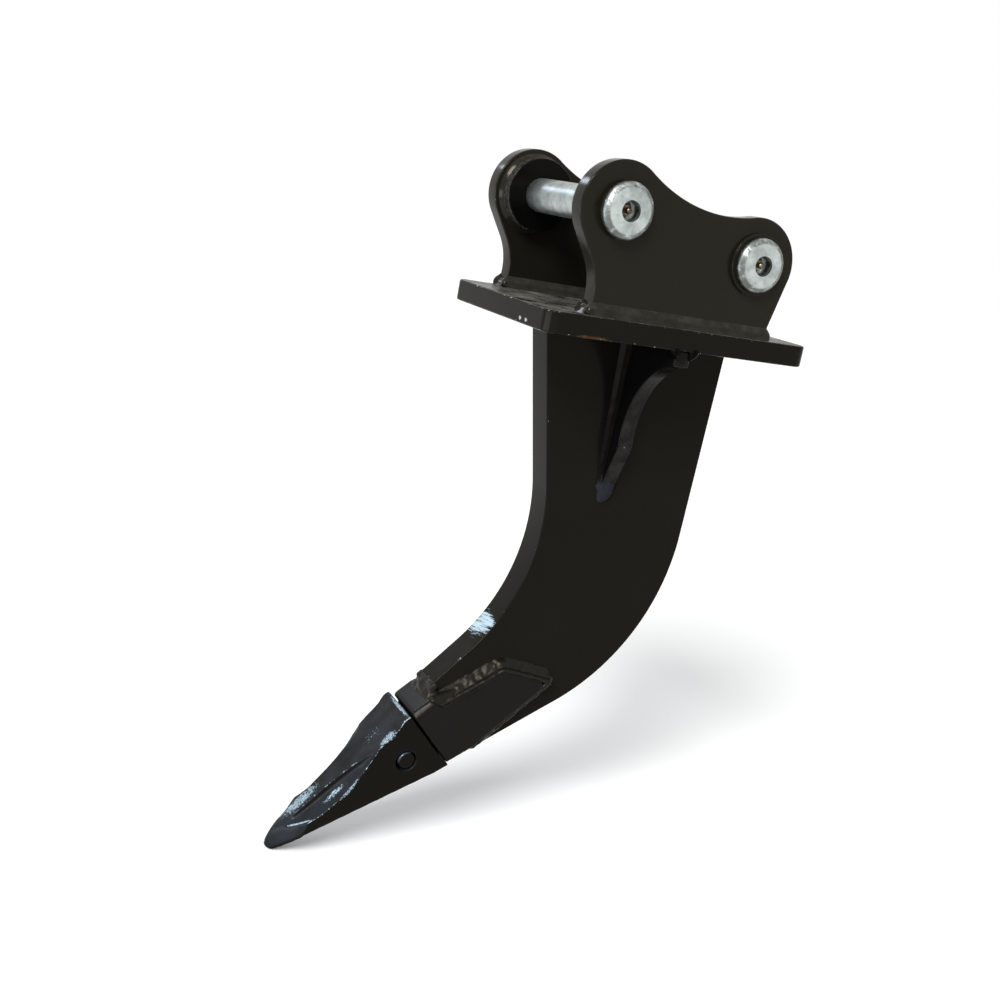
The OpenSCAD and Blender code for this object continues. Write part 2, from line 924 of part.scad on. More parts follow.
left_ear();
right_ear();
front_left_boss();
front_right_boss();
rear_left_boss();
rear_right_boss();
top_plate();
shank();
left_gusset();
right_gusset();
nose_adapter();
tooth();
tooth_pin();
tooth_pin_retainer();
front_pin();
rear_pin();
front_head_collar();
rear_head_collar();
front_washer();
rear_washer();
front_nipple();
rear_nipple();
front_lock_collar();
rear_lock_collar();
front_lock_bolt();
rear_lock_bolt();
front_lock_nut();
rear_lock_nut();
ear_welds();
boss_welds();
shank_welds();
gusset_welds();
adapter_welds();
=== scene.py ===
import math

import bmesh
import bpy
import numpy as np
from mathutils import Matrix, Vector, noise


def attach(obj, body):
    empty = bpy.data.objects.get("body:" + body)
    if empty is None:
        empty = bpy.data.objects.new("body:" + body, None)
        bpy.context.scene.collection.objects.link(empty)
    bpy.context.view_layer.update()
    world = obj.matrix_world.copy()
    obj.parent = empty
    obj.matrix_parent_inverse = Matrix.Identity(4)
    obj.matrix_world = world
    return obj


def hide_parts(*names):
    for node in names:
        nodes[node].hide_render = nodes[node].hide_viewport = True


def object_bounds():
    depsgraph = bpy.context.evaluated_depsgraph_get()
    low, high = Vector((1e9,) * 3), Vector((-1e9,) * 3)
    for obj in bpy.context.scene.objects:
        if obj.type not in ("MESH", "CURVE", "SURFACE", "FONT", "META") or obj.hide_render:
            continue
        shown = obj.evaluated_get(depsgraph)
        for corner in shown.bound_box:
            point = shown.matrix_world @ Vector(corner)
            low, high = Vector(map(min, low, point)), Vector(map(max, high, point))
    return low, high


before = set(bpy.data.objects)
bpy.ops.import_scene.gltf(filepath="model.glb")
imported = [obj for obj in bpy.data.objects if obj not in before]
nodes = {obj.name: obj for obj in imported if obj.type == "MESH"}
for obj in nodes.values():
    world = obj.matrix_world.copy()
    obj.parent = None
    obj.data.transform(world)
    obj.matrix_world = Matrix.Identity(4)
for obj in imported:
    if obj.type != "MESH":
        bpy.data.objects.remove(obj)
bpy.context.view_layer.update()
print("frame loaded:", len(nodes), "nodes")

scene = bpy.context.scene
scene.view_settings.view_transform = "Standard"


# sRGB hex to linear colour
def linear(hexColour):
    channels = [int(hexColour[i:i + 2], 16) / 255 for i in (1, 3, 5)]
    straight = [c / 12.92 if c <= 0.04045 else ((c + 0.055) / 1.055) ** 2.4 for c in channels]
    return (*straight, 1.0)


# one node with its settings; an input that is a socket is linked, any other is set; gives back one output
def addNode(tree, kind, settings=None, inputs=None, out=0):
    node = tree.nodes.new(kind)
    for key, value in (settings or {}).items():
        setattr(node, key, value)
    for key, value in (inputs or {}).items():
        if isinstance(value, bpy.types.NodeSocket):
            tree.links.new(value, node.inputs[key])
        else:
            node.inputs[key].default_value = value
    return node.outputs[out] if node.outputs else node


def newMaterial(name):
    material = bpy.data.materials.new(name)
    material.use_nodes = True
    material.node_tree.nodes.clear()
    return material, material.node_tree


softStep = {"interpolation_type": "SMOOTHSTEP"}
times, larger, timesPlus = (
    {"operation": name, "use_clamp": True} for name in ("MULTIPLY", "MAXIMUM", "MULTIPLY_ADD"))
colourMix = {"data_type": "RGBA"}


# soft patches for wear, stains, painted shade and painted highlights: a soft ellipsoid round a point of the surface,
# broken up by streaks
def wearAndShadingPatch(tree, objectPoint, patch):
    moved = addNode(tree, "ShaderNodeMapping", {"vector_type": "TEXTURE"}, {
        "Vector": objectPoint, "Location": patch["centre"], "Rotation": patch.get("turn", (0, 0, 0)),
        "Scale": patch["reach"]})
    distance = addNode(tree, "ShaderNodeVectorMath", {"operation": "LENGTH"}, {0: moved}, "Value")
    drawn = addNode(tree, "ShaderNodeMapping", None, {"Vector": moved, "Scale": patch["streaks"]})
    streaks = addNode(tree, "ShaderNodeTexNoise", None, {
        "Vector": drawn, "Scale": 1.0, "Detail": 8.0, "Roughness": 0.75, "Distortion": 0.3})
    near = addNode(tree, "ShaderNodeMapRange", softStep, {"Value": distance, "From Min": 1.0, "From Max": 0.2})
    worn = addNode(tree, "ShaderNodeMath", timesPlus, {0: near, 1: patch["gain"], 2: streaks})
    return addNode(tree, "ShaderNodeMapRange", softStep, {
        "Value": worn, "From Min": patch["from"], "From Max": patch["from"] + patch.get("edge", 0.05)})


# black enamel brushed over rolled steel plate: deep warm black, satin, a little orange peel,
# flame-cut drag lines on the cut edges, and bright chips on the sharp corners; faces turned upward are
# lightened by dust and a painted sheen, cut edges by a painted rim sheen, and patches add stains and painted highlights
def blackEnamel(name, finish):
    material, tree = newMaterial(name)
    objectPoint = addNode(tree, "ShaderNodeTexCoord", out="Object")
    normal = addNode(tree, "ShaderNodeNewGeometry", out="Normal")
    facing = addNode(tree, "ShaderNodeSeparateXYZ", None, {0: normal}).node.outputs
    clouds = addNode(tree, "ShaderNodeTexNoise", None, {
        "Vector": objectPoint, "Scale": 1 / finish["cloudSize"], "Detail": 4.0, "Roughness": 0.55})
    # real orange peel is about 1 mm; drawn at 3.5 mm so that it shows
    peel = addNode(tree, "ShaderNodeTexNoise", None, {
        "Vector": objectPoint, "Scale": 1 / finish["peelSize"], "Detail": 2.0})
    chipGrain = addNode(tree, "ShaderNodeTexNoise", None, {
        "Vector": objectPoint, "Scale": 1 / finish["chipSize"], "Detail": 5.0, "Roughness": 0.7})
    chipped = addNode(tree, "ShaderNodeMapRange", softStep, {
        "Value": chipGrain, "From Min": finish["chipFrom"], "From Max": finish["chipFrom"] + finish["chipEdge"]})
    corner = addNode(tree, "ShaderNodeAttribute", {"attribute_name": "wornEdge"}, out="Fac")
    bare = addNode(tree, "ShaderNodeMath", times, {0: corner, 1: chipped})
    flat = addNode(tree, "ShaderNodeMath", {"operation": "ABSOLUTE"}, {0: facing[finish["flatAxis"]]})
    cutEdge = addNode(tree, "ShaderNodeMapRange", softStep, {"Value": flat, "From Min": 0.7, "From Max": 0.3})
    for patch in finish.get("patches", []):
        scraped = addNode(tree, "ShaderNodeMath", times, {0: cutEdge, 1: wearAndShadingPatch(tree, objectPoint, patch)})
        bare = addNode(tree, "ShaderNodeMath", larger, {0: bare, 1: scraped})
    # dust and painted sheen: faces turned upward are lightened towards a pale grey, broken up by noise
    upwardDustAndSheen = addNode(tree, "ShaderNodeMapRange", softStep, {
        "Value": facing["Z"], "From Min": finish["dustAndSheenFrom"], "From Max": finish["dustAndSheenFrom"] + finish["dustAndSheenEdge"],
        "To Max": finish["dustAndSheen"]})
    dustAndSheenGrain = addNode(tree, "ShaderNodeTexNoise", None, {
        "Vector": objectPoint, "Scale": 1 / finish["dustAndSheenSize"], "Detail": 8.0, "Roughness": 0.7})
    dustAndSheenCover = addNode(tree, "ShaderNodeMapRange", softStep, {"Value": dustAndSheenGrain, "From Min": 0.3, "From Max": 0.8})
    dustAndSheen = addNode(tree, "ShaderNodeMath", times, {0: upwardDustAndSheen, 1: dustAndSheenCover})
    paint = addNode(tree, "ShaderNodeMix", colourMix, {
        0: clouds, 6: linear(finish["dark"]), 7: linear(finish["light"])}, 2)
    paint = addNode(tree, "ShaderNodeMix", colourMix, {0: dustAndSheen, 6: paint, 7: linear(finish["dustAndSheenColour"])}, 2)
    # painted rim sheen: the cut edges are lightened towards a pale grey, broken up by the same noise
    paintedRimSheen = addNode(tree, "ShaderNodeMath", times, {0: cutEdge, 1: finish["rimSheenTone"]})
    paintedRimSheen = addNode(tree, "ShaderNodeMath", times, {0: paintedRimSheen, 1: dustAndSheenCover})
    paint = addNode(tree, "ShaderNodeMix", colourMix, {0: paintedRimSheen, 6: paint, 7: linear(finish["rimSheenColour"])}, 2)
    colour = addNode(tree, "ShaderNodeMix", colourMix, {0: bare, 6: paint, 7: linear(finish["bareColour"])}, 2)
    # real stains and painted highlights, each mixed over the colour in its patch
    for stainAndHighlight in finish.get("stainsAndHighlights", []):
        stainAndHighlightMask = wearAndShadingPatch(tree, objectPoint, stainAndHighlight)
        colour = addNode(tree, "ShaderNodeMix", colourMix, {
            0: stainAndHighlightMask, 6: colour, 7: linear(finish["stainAndHighlightColour"])}, 2)
    roughness = addNode(tree, "ShaderNodeMix", None, {0: clouds, 2: finish["gloss"][0], 3: finish["gloss"][1]})
    roughness = addNode(tree, "ShaderNodeMix", None, {0: dustAndSheen, 2: roughness, 3: finish["dustRough"]})
    roughness = addNode(tree, "ShaderNodeMix", None, {0: bare, 2: roughness, 3: finish["bareRough"]})
    metallic = addNode(tree, "ShaderNodeMath", times, {0: bare, 1: finish["bareMetal"]})
    stretched = addNode(tree, "ShaderNodeMapping", None, {"Vector": objectPoint, "Scale": finish["dragScale"]})
    drag = addNode(tree, "ShaderNodeTexNoise", None, {"Vector": stretched, "Scale": 1.0, "Detail": 3.0})
    relief = addNode(tree, "ShaderNodeMath", times, {0: cutEdge, 1: drag})
    dragBump = addNode(tree, "ShaderNodeBump", None, {
        "Height": relief, "Strength": finish["dragDepth"], "Distance": finish["dragHeight"]})
    peelBump = addNode(tree, "ShaderNodeBump", None, {
        "Height": peel, "Strength": finish["peelDepth"], "Distance": finish["peelHeight"], "Normal": dragBump})
    shader = addNode(tree, "ShaderNodeBsdfPrincipled", None, {
        "Base Color": colour, "Metallic": metallic, "Roughness": roughness, "Normal": peelBump,
        "Specular IOR Level": finish["shine"], "Specular Tint": linear(finish["shineTint"])})
    addNode(tree, "ShaderNodeOutputMaterial", None, {"Surface": shader})
    return material


# worn black paint over sand-cast steel: grainy skin, rubbed through to bright metal on the ribs and rims;
# faces turned upward are burnished and carry a painted bluish sheen of the sky
def castPaint(name, finish):
    material, tree = newMaterial(name)
    objectPoint = addNode(tree, "ShaderNodeTexCoord", out="Object")
    clouds = addNode(tree, "ShaderNodeTexNoise", None, {
        "Vector": objectPoint, "Scale": 1 / finish["cloudSize"], "Detail": 5.0, "Roughness": 0.6})
    # moulding sand leaves grains of about 0.5 mm; drawn at 2.8 mm so that they show
    sand = addNode(tree, "ShaderNodeTexNoise", None, {
        "Vector": objectPoint, "Scale": 1 / finish["sandSize"], "Detail": 4.0, "Roughness": 0.6})
    speckle = addNode(tree, "ShaderNodeTexNoise", None, {
        "Vector": objectPoint, "Scale": 1 / finish["speckSize"], "Detail": 6.0, "Roughness": 0.75})
    normal = addNode(tree, "ShaderNodeNewGeometry", out="Normal")
    upward = addNode(tree, "ShaderNodeVectorMath", {"operation": "DOT_PRODUCT"}, {0: normal, 1: toothTop}, "Value")
    onTop = addNode(tree, "ShaderNodeMapRange", softStep, {"Value": upward, "From Min": 0.3, "From Max": 0.6})
    ridge = addNode(tree, "ShaderNodeAttribute", {"attribute_name": "rubbed"}, out="Fac")
    ridge = addNode(tree, "ShaderNodeMath", times, {0: ridge, 1: onTop})
    worn = addNode(tree, "ShaderNodeMath", timesPlus, {0: ridge, 1: finish["ridgeWear"], 2: speckle})
    bare = addNode(tree, "ShaderNodeMapRange", softStep, {
        "Value": worn, "From Min": finish["wornFrom"], "From Max": finish["wornFrom"] + finish["wornEdge"]})
    for patch in finish.get("patches", []):
        bare = addNode(tree, "ShaderNodeMath", larger, {0: bare, 1: wearAndShadingPatch(tree, objectPoint, patch)})
    # burnish and painted sheen: faces turned upward go bluish and metallic in patches
    upwardBurnishAndSheen = addNode(tree, "ShaderNodeMapRange", softStep, {
        "Value": upward, "From Min": 0.25, "From Max": 0.75, "To Max": finish["burnishAndSheen"]})
    patchy = addNode(tree, "ShaderNodeMapRange", softStep, {"Value": clouds, "From Min": 0.25, "From Max": 0.7})
    burnishedAndSheen = addNode(tree, "ShaderNodeMath", times, {0: upwardBurnishAndSheen, 1: patchy})
    paint = addNode(tree, "ShaderNodeMix", colourMix, {
        0: clouds, 6: linear(finish["dark"]), 7: linear(finish["light"])}, 2)
    paint = addNode(tree, "ShaderNodeMix", colourMix, {
        0: burnishedAndSheen, 6: paint, 7: linear(finish["burnishAndSheenColour"])}, 2)
    metal = addNode(tree, "ShaderNodeMix", colourMix, {
        0: sand, 6: linear(finish["bareDark"]), 7: linear(finish["bareLight"])}, 2)
    colour = addNode(tree, "ShaderNodeMix", colourMix, {0: bare, 6: paint, 7: metal}, 2)
    metallic = addNode(tree, "ShaderNodeMath", times, {0: bare, 1: finish["bareMetal"]})
    metallic = addNode(tree, "ShaderNodeMath", larger, {0: metallic, 1: burnishedAndSheen})
    roughness = addNode(tree, "ShaderNodeMix", None, {0: sand, 2: finish["gloss"][0], 3: finish["gloss"][1]})
    roughness = addNode(tree, "ShaderNodeMix", None, {0: bare, 2: roughness, 3: finish["bareRough"]})
    castBump = addNode(tree, "ShaderNodeBump", None, {
        "Height": sand, "Strength": finish["sandDepth"], "Distance": finish["sandHeight"]})
    chipBump = addNode(tree, "ShaderNodeBump", {"invert": True}, {
        "Height": bare, "Strength": finish["paintDepth"], "Distance": finish["paintHeight"], "Normal": castBump})
    shader = addNode(tree, "ShaderNodeBsdfPrincipled", None, {
        "Base Color": colour, "Metallic": metallic, "Roughness": roughness, "Normal": chipBump,
        "Specular IOR Level": finish["shine"], "Specular Tint": linear(finish["shineTint"])})
    addNode(tree, "ShaderNodeOutputMaterial", None, {"Surface": shader})
    return material


# turned steel with dull zinc plating: pale bluish grey, cloudy, with fine scratches and grime, and grime with painted
# shade round the rims and in the wells
def zincPlate(name, finish):
    material, tree = newMaterial(name)
    objectPoint = addNode(tree, "ShaderNodeTexCoord", out="Object")
    normal = addNode(tree, "ShaderNodeNewGeometry", out="Normal")
    facing = addNode(tree, "ShaderNodeSeparateXYZ", None, {0: normal}).node.outputs
    clouds = addNode(tree, "ShaderNodeTexNoise", None, {
        "Vector": objectPoint, "Scale": 1 / finish["cloudSize"], "Detail": 6.0, "Roughness": 0.65})
    turned = addNode(tree, "ShaderNodeMapping", None, {
        "Vector": objectPoint, "Scale": finish["scratchScale"], "Rotation": (0.4, 0.2, 0.7)})
    scratches = addNode(tree, "ShaderNodeTexNoise", None, {
        "Vector": turned, "Scale": 1.0, "Detail": 7.0, "Roughness": 0.7})
    grime = addNode(tree, "ShaderNodeTexNoise", None, {
        "Vector": objectPoint, "Scale": 1 / finish["grimeSize"], "Detail": 8.0, "Roughness": 0.75, "Distortion": 0.6})
    grimeAndShade = addNode(tree, "ShaderNodeMapRange", softStep, {
        "Value": grime, "From Min": 0.58, "From Max": 0.74, "To Max": finish["grime"]})
    # grime and painted shade on the faces that don't face along Y, broken up by the grime noise
    endOn = addNode(tree, "ShaderNodeMath", {"operation": "ABSOLUTE"}, {0: facing["Y"]})
    rim = addNode(tree, "ShaderNodeMapRange", softStep, {
        "Value": endOn, "From Min": 0.98, "From Max": 0.86, "To Max": finish["rimGrimeAndShade"]})
    smeared = addNode(tree, "ShaderNodeMapRange", softStep, {"Value": grime, "From Min": 0.34, "From Max": 0.54})
    rim = addNode(tree, "ShaderNodeMath", times, {0: rim, 1: smeared})
    grimeAndShade = addNode(tree, "ShaderNodeMath", larger, {0: grimeAndShade, 1: rim})
    # each hollow darkens a soft patch as painted shade
    for hollow in finish.get("shadedHollows", []):
        grimeAndShade = addNode(tree, "ShaderNodeMath", larger, {0: grimeAndShade, 1: wearAndShadingPatch(tree, objectPoint, hollow)})
    cloudy = addNode(tree, "ShaderNodeMapRange", softStep, {"Value": clouds, "From Min": 0.3, "From Max": 0.7})
    plated = addNode(tree, "ShaderNodeMix", colourMix, {
        0: cloudy, 6: linear(finish["dark"]), 7: linear(finish["light"])}, 2)
    colour = addNode(tree, "ShaderNodeMix", colourMix, {0: grimeAndShade, 6: plated, 7: linear(finish["grimeAndShadeColour"])}, 2)
    roughness = addNode(tree, "ShaderNodeMix", None, {0: scratches, 2: finish["gloss"][0], 3: finish["gloss"][1]})
    relief = addNode(tree, "ShaderNodeBump", None, {
        "Height": scratches, "Strength": finish["scratchDepth"], "Distance": finish["scratchHeight"]})
    shader = addNode(tree, "ShaderNodeBsdfPrincipled", None, {
        "Base Color": colour, "Metallic": 1.0, "Roughness": roughness, "Normal": relief})
    addNode(tree, "ShaderNodeOutputMaterial", None, {"Surface": shader})
    return material


# where the tooth sits: the middle of its socket's rim in X and Z, and its slope
tooth = {"at": (-0.076, -0.658), "angle": math.radians(42)}
toothTop = (-math.sin(tooth["angle"]), 0, math.cos(tooth["angle"]))
toothTurn = (0, -tooth["angle"], 0)


# s along the tooth from its socket's rim, n above its middle line, y across
def toothPoint(s, n, y):
    cosA, sinA = math.cos(tooth["angle"]), math.sin(tooth["angle"])
    return Vector((tooth["at"][0] - s * cosA - n * sinA, y, tooth["at"][1] - s * sinA + n * cosA))


headstock = {
    "earIn": 0.096, "earOut": 0.117, "earFront": -0.016, "earRear": 0.219, "plateTop": -0.115, "plateLow": -0.14,
    "shankSide": 0.02, "pins": ((0.0, 0.0), (0.185, -0.032)), "bossRadius": 0.043,
}
plateFinish = {
    "dark": "#0f0e0b", "light": "#161411", "cloudSize": 0.11,
    "gloss": (0.1, 0.24), "shine": 0.06, "shineTint": "#fff6e0",
    "peelSize": 0.0035, "peelDepth": 0.05, "peelHeight": 0.0004,
    "chipSize": 0.008, "chipFrom": 0.66, "chipEdge": 0.06, "bareColour": "#9b9fa1", "bareMetal": 0.2, "bareRough": 0.5,
    "dustAndSheen": 0.1, "dustAndSheenFrom": 0.55, "dustAndSheenEdge": 0.4, "dustAndSheenSize": 0.03, "dustAndSheenColour": "#6a675f", "dustRough": 0.8,
    "dragScale": (200, 14, 200), "dragDepth": 0.12, "dragHeight": 0.0006, "flatAxis": "Y",
    "rimSheenTone": 0.0, "rimSheenColour": "#55544e", "stainAndHighlightColour": "#46311f",
}
# scraped front edge of the shank
shankPatches = [
    {"centre": (-0.0105, 0.004, -0.5178), "reach": (0.031, 0.05, 0.022), "turn": (0, -0.977, 0.35),
     "streaks": (13.0, 1.6, 1.0), "gain": 0.33, "from": 0.71, "edge": 0.12},
]
# two chips on the plate's front, and rust along its lower near edge
frontChips = [
    {"centre": (-0.07, y, -0.134), "reach": (0.004, 0.005, 0.004), "streaks": (1.5, 1.5, 1.5), "gain": 0.4, "from": 0.74}
    for y in (-0.061, -0.0755)]
plateRust = [
    {"centre": (-0.012, -0.1265, -0.139), "reach": (0.05, 0.01, 0.006), "streaks": (12.0, 2.0, 2.0),
     "gain": 0.4, "from": 0.84},
]
# painted highlight, pale bluish grey, at the lower end of each gusset's weld
gussetTailHighlights = [
    {"centre": (0.106, side * 0.026, -0.33), "reach": (0.02, 0.02, 0.034), "streaks": (2.0, 2.0, 2.0),
     "gain": 0.5, "from": 0.62, "edge": 0.35} for side in (-1, 1)]
weldPeel = {"peelSize": 0.005, "peelDepth": 0.12, "dragDepth": 0.0}
enamelOnEars = blackEnamel("Black enamel on flame-cut ears", dict(
    plateFinish, dark="#15140f", light="#1d1b16", shine=0.12))
# bosses: base darkened as painted shade, and their rims lightened by a painted rim sheen
shadedEnamelOnBosses = blackEnamel("Black enamel on bosses, painted shade and rim sheen", dict(
    plateFinish, dark="#060606", light="#0b0a09", dustAndSheenSize=0.006, rimSheenTone=0.7))
# the plate's top carries heavy dust together with a painted sheen
enamelOnPlate = blackEnamel("Black enamel on top plate", dict(
    plateFinish, dragScale=(200, 200, 14), flatAxis="Z", dustAndSheen=0.8, dustAndSheenColour="#8a8880", chipFrom=0.61, chipSize=0.0055,
    patches=frontChips, stainsAndHighlights=plateRust))
enamelOnShank = blackEnamel("Black enamel on flame-cut shank", dict(
    plateFinish, patches=shankPatches, bareColour="#a6bac4"))
# gussets: base darkened as painted shade, and their cut edges lightened by a painted rim sheen
shadedEnamelOnGussets = blackEnamel("Black enamel on gussets, painted shade and rim sheen", dict(
    plateFinish, dark="#060606", light="#0a0909", dragScale=(14, 200, 200), flatAxis="X", shine=0.07, rimSheenTone=0.25))
# weld slopes that face upward are lightened, dust together with a painted sheen
enamelOnWelds = blackEnamel("Black enamel over weld beads", dict(
    plateFinish, **weldPeel, dark="#14130f", light="#1d1b16", gloss=(0.1, 0.22), shine=0.14,
    dustAndSheen=0.22, dustAndSheenFrom=0.3, dustAndSheenSize=0.02))
enamelOnSeat = blackEnamel("Black enamel over the adapter's welds", dict(
    plateFinish, **weldPeel, gloss=(0.3, 0.45), shine=0.16, dustAndSheen=0.03))
# welds in the gusset corners: base near black as painted shade, and a painted highlight at each lower end
dullShadedOnWelds = blackEnamel("Dull black paint in the gusset corners", dict(
    plateFinish, **weldPeel, dark="#030303", light="#060505", gloss=(0.2, 0.35), shine=0.03,
    stainAndHighlightColour="#232429", stainsAndHighlights=gussetTailHighlights))
castFinish = {
    "dark": "#0a0806", "light": "#0f0d0a", "cloudSize": 0.05,
    "gloss": (0.18, 0.32), "shine": 0.065, "shineTint": "#fff5e4",
    "sandSize": 0.0028, "sandDepth": 0.3, "sandHeight": 0.0005, "paintDepth": 0.3, "paintHeight": 0.0002,
    "speckSize": 0.004, "ridgeWear": 0.42, "wornFrom": 0.79, "wornEdge": 0.06,
    "bareDark": "#5e717b", "bareLight": "#a4b8c2", "bareMetal": 0.2, "bareRough": 0.5,
    "burnishAndSheen": 0.12, "burnishAndSheenColour": "#5c6876",
}
# the two ends of the line where the near flute runs out on the point
runOut = (toothPoint(0.157, 0.0112, -0.0334), toothPoint(0.194, 0.0158, -0.0104))
runOutTurn = (runOut[1] - runOut[0]).to_track_quat("X", "Z").to_euler()
rimTurn = (0, -tooth["angle"] - 0.23, 0)
toothPatches = [
    # lip of the socket
    {"centre": toothPoint(-0.0005, 0.046, -0.004), "reach": (0.0055, 0.055, 0.014), "turn": toothTurn,
     "streaks": (3.0, 20.0, 6.0), "gain": 0.34, "from": 0.76, "edge": 0.03},
    # near top edge behind the flute
    {"centre": toothPoint(0.037, 0.039, -0.033), "reach": (0.031, 0.0125, 0.008), "turn": toothTurn,
     "streaks": (11.0, 5.0, 3.0), "gain": 0.3, "from": 0.72, "edge": 0.03},
    # front of the rib, down to its far side
    {"centre": toothPoint(0.16, 0.0222, 0.002), "reach": (0.056, 0.019, 0.016), "turn": toothTurn,
     "streaks": (22.0, 9.0, 7.0), "gain": 0.28, "from": 0.73, "edge": 0.03},
    # floor of the near flute
    {"centre": toothPoint(0.122, 0.0158, -0.0225), "reach": (0.032, 0.0065, 0.012), "turn": toothTurn,
     "streaks": (9.0, 5.0, 5.0), "gain": 0.25, "from": 0.73, "edge": 0.03},
    # outer rim of the near flute
    {"centre": toothPoint(0.108, 0.0148, -0.035), "reach": (0.034, 0.0042, 0.006), "turn": rimTurn,
     "streaks": (20.0, 4.0, 4.0), "gain": 0.27, "from": 0.73, "edge": 0.03},
    # line where that flute runs out
    {"centre": (runOut[0] + runOut[1]) / 2, "reach": (0.03, 0.0022, 0.005), "turn": runOutTurn,
     "streaks": (16.0, 3.0, 3.0), "gain": 0.32, "from": 0.72, "edge": 0.03},
    # scattered specks on the flat top
    {"centre": toothPoint(0.047, 0.038, -0.006), "reach": (0.032, 0.026, 0.014), "turn": toothTurn,
     "streaks": (11.0, 10.0, 6.0), "gain": 0.17, "from": 0.75, "edge": 0.03},
]
paintOnTooth = castPaint("Worn black paint on cast tooth", dict(castFinish, patches=toothPatches))
paintOnAdapter = castPaint("Worn black paint on cast adapter", dict(
    castFinish, dark="#0c0b09", light="#13110f", ridgeWear=0.0, sandDepth=0.2, shine=0.1, burnishAndSheen=0.03))
# the tooth pin's strong burnish is a painted highlight on the upper side of its rounded end
paintAndHighlightOnToothPin = castPaint("Worn black paint with a painted highlight on the tooth pin", dict(
    castFinish, ridgeWear=0.0, burnishAndSheen=0.6, sandDepth=0.1))
zincFinish = {
    "dark": "#9aa19f", "light": "#c9d0cd", "cloudSize": 0.016, "gloss": (0.26, 0.42),
    "scratchScale": (900, 60, 900), "scratchDepth": 0.25, "scratchHeight": 0.0003,
    "grimeSize": 0.012, "grime": 0.5, "rimGrimeAndShade": 0.0, "grimeAndShadeColour": "#4a4a45",
}
headFinish = dict(zincFinish, gloss=(0.32, 0.48), grime=0.4)
# painted shade in the well round each pin's grease nipple
shadedWells = [
    {"centre": (x, -0.1235, z), "reach": (0.0185, 0.0125, 0.0185), "streaks": (2.5, 2.5, 2.5), "gain": 0.75, "from": 0.72}
    for x, z in headstock["pins"]]
zincOnPins = zincPlate("Zinc plating on turned pins", dict(headFinish, rimGrimeAndShade=0.22, shadedHollows=shadedWells))
# the heads' bevelled rims are darkened heavily, grime together with painted shade
zincOnCollars = zincPlate("Zinc plating on pin heads", dict(headFinish, rimGrimeAndShade=0.8))
zincOnBolts = zincPlate("Zinc plating on lock collars and bolts", dict(zincFinish, scratchScale=(120, 500, 380)))
rustyNipple = zincPlate("Rust-stained grease nipple", dict(
    zincFinish, dark="#463b34", light="#786858", cloudSize=0.005, grimeSize=0.004, grimeAndShadeColour="#2e241d"))
yellowNipple = zincPlate("Yellow-plated grease nipple", dict(
    zincFinish, dark="#5c5747", light="#8f886f", cloudSize=0.005, grimeSize=0.004, grimeAndShadeColour="#332f26"))
print("materials ready")


def newPiece(name, mesh, material, node):
    piece = bpy.data.objects.new(name, mesh)
    scene.collection.objects.link(piece)
    mesh.materials.clear()
    mesh.materials.append(material)
    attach(piece, "root")
    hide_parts(node)
    return piece


merging = {"doubles": 1e-6, "flatAngle": math.radians(0.4)}


# the solid's own mesh, merged, with its flat faces made whole again
def mergedCopy(node):
    bm = bmesh.new()
    bm.from_mesh(nodes[node].data)
    bmesh.ops.remove_doubles(bm, verts=bm.verts, dist=merging["doubles"])
    bmesh.ops.dissolve_limit(bm, angle_limit=merging["flatAngle"], verts=bm.verts, edges=bm.edges)
    return bm


# where a pin's end is pressed into its head collar and ground flush: distances from the pin's line, places along Y
pinSeam = {"inner": 0.019, "pinRim": 0.0206, "collarRim": 0.0212, "nearEnd": -0.131, "cut": -0.1315, "endFace": -0.1325,
           "spread": 0.0009, "proud": 0.00006}


def onPressedSeam(edge):
    for x, z in headstock["pins"]:
        if all(pinSeam["inner"] < math.hypot(v.co.x - x, v.co.z - z) < pinSeam["collarRim"]
               and v.co.y < pinSeam["nearEnd"] for v in edge.verts):
            return True
    return False


# the pin's end pressed out over that seam
def closeSeam(bm):
    bmesh.ops.bisect_plane(bm, geom=bm.verts[:] + bm.edges[:] + bm.faces[:],
                           plane_co=(0, pinSeam["cut"], 0), plane_no=(0, 1, 0))
    for v in bm.verts:
        for x, z in headstock["pins"]:
            away = Vector((v.co.x - x, 0, v.co.z - z))
            if v.co.y < pinSeam["endFace"] and pinSeam["inner"] < away.length < pinSeam["pinRim"]:
                v.co += away.normalized() * pinSeam["spread"] + Vector((0, -pinSeam["proud"], 0))


softening = {"segments": 2, "sharpAngle": math.radians(28), "smoothAngle": math.radians(50), "toothPinStretch": 1.05}


# a copy with small rounded corners; the corner faces carry the wear
def softenedPiece(name, node, material, corner):
    bm = mergedCopy(node)
    if node in ("front_pin", "rear_pin"):
        closeSeam(bm)
    if node == "tooth_pin":
        bmesh.ops.scale(bm, vec=(1, softening["toothPinStretch"], 1), verts=bm.verts)  # driven flush
    wear = bm.faces.layers.float.new("wornEdge")
    sharp = [edge for edge in bm.edges if len(edge.link_faces) == 2
             and edge.calc_face_angle() > softening["sharpAngle"] and not onPressedSeam(edge)]
    made = bmesh.ops.bevel(bm, geom=sharp, offset=corner, offset_type="OFFSET", affect="EDGES", profile=0.5,
                           segments=softening["segments"], material=-1, clamp_overlap=True, loop_slide=True)
    for face in made["faces"]:
        face[wear] = 1.0
    for face in bm.faces:
        face.smooth = True
    mesh = bpy.data.meshes.new(name)
    bm.to_mesh(mesh)
    bm.free()
    mesh.set_sharp_from_angle(angle=softening["smoothAngle"])
    piece = newPiece(name, mesh, material, node)
    weighted = piece.modifiers.new("flat faces stay flat", "WEIGHTED_NORMAL")
    weighted.keep_sharp = True


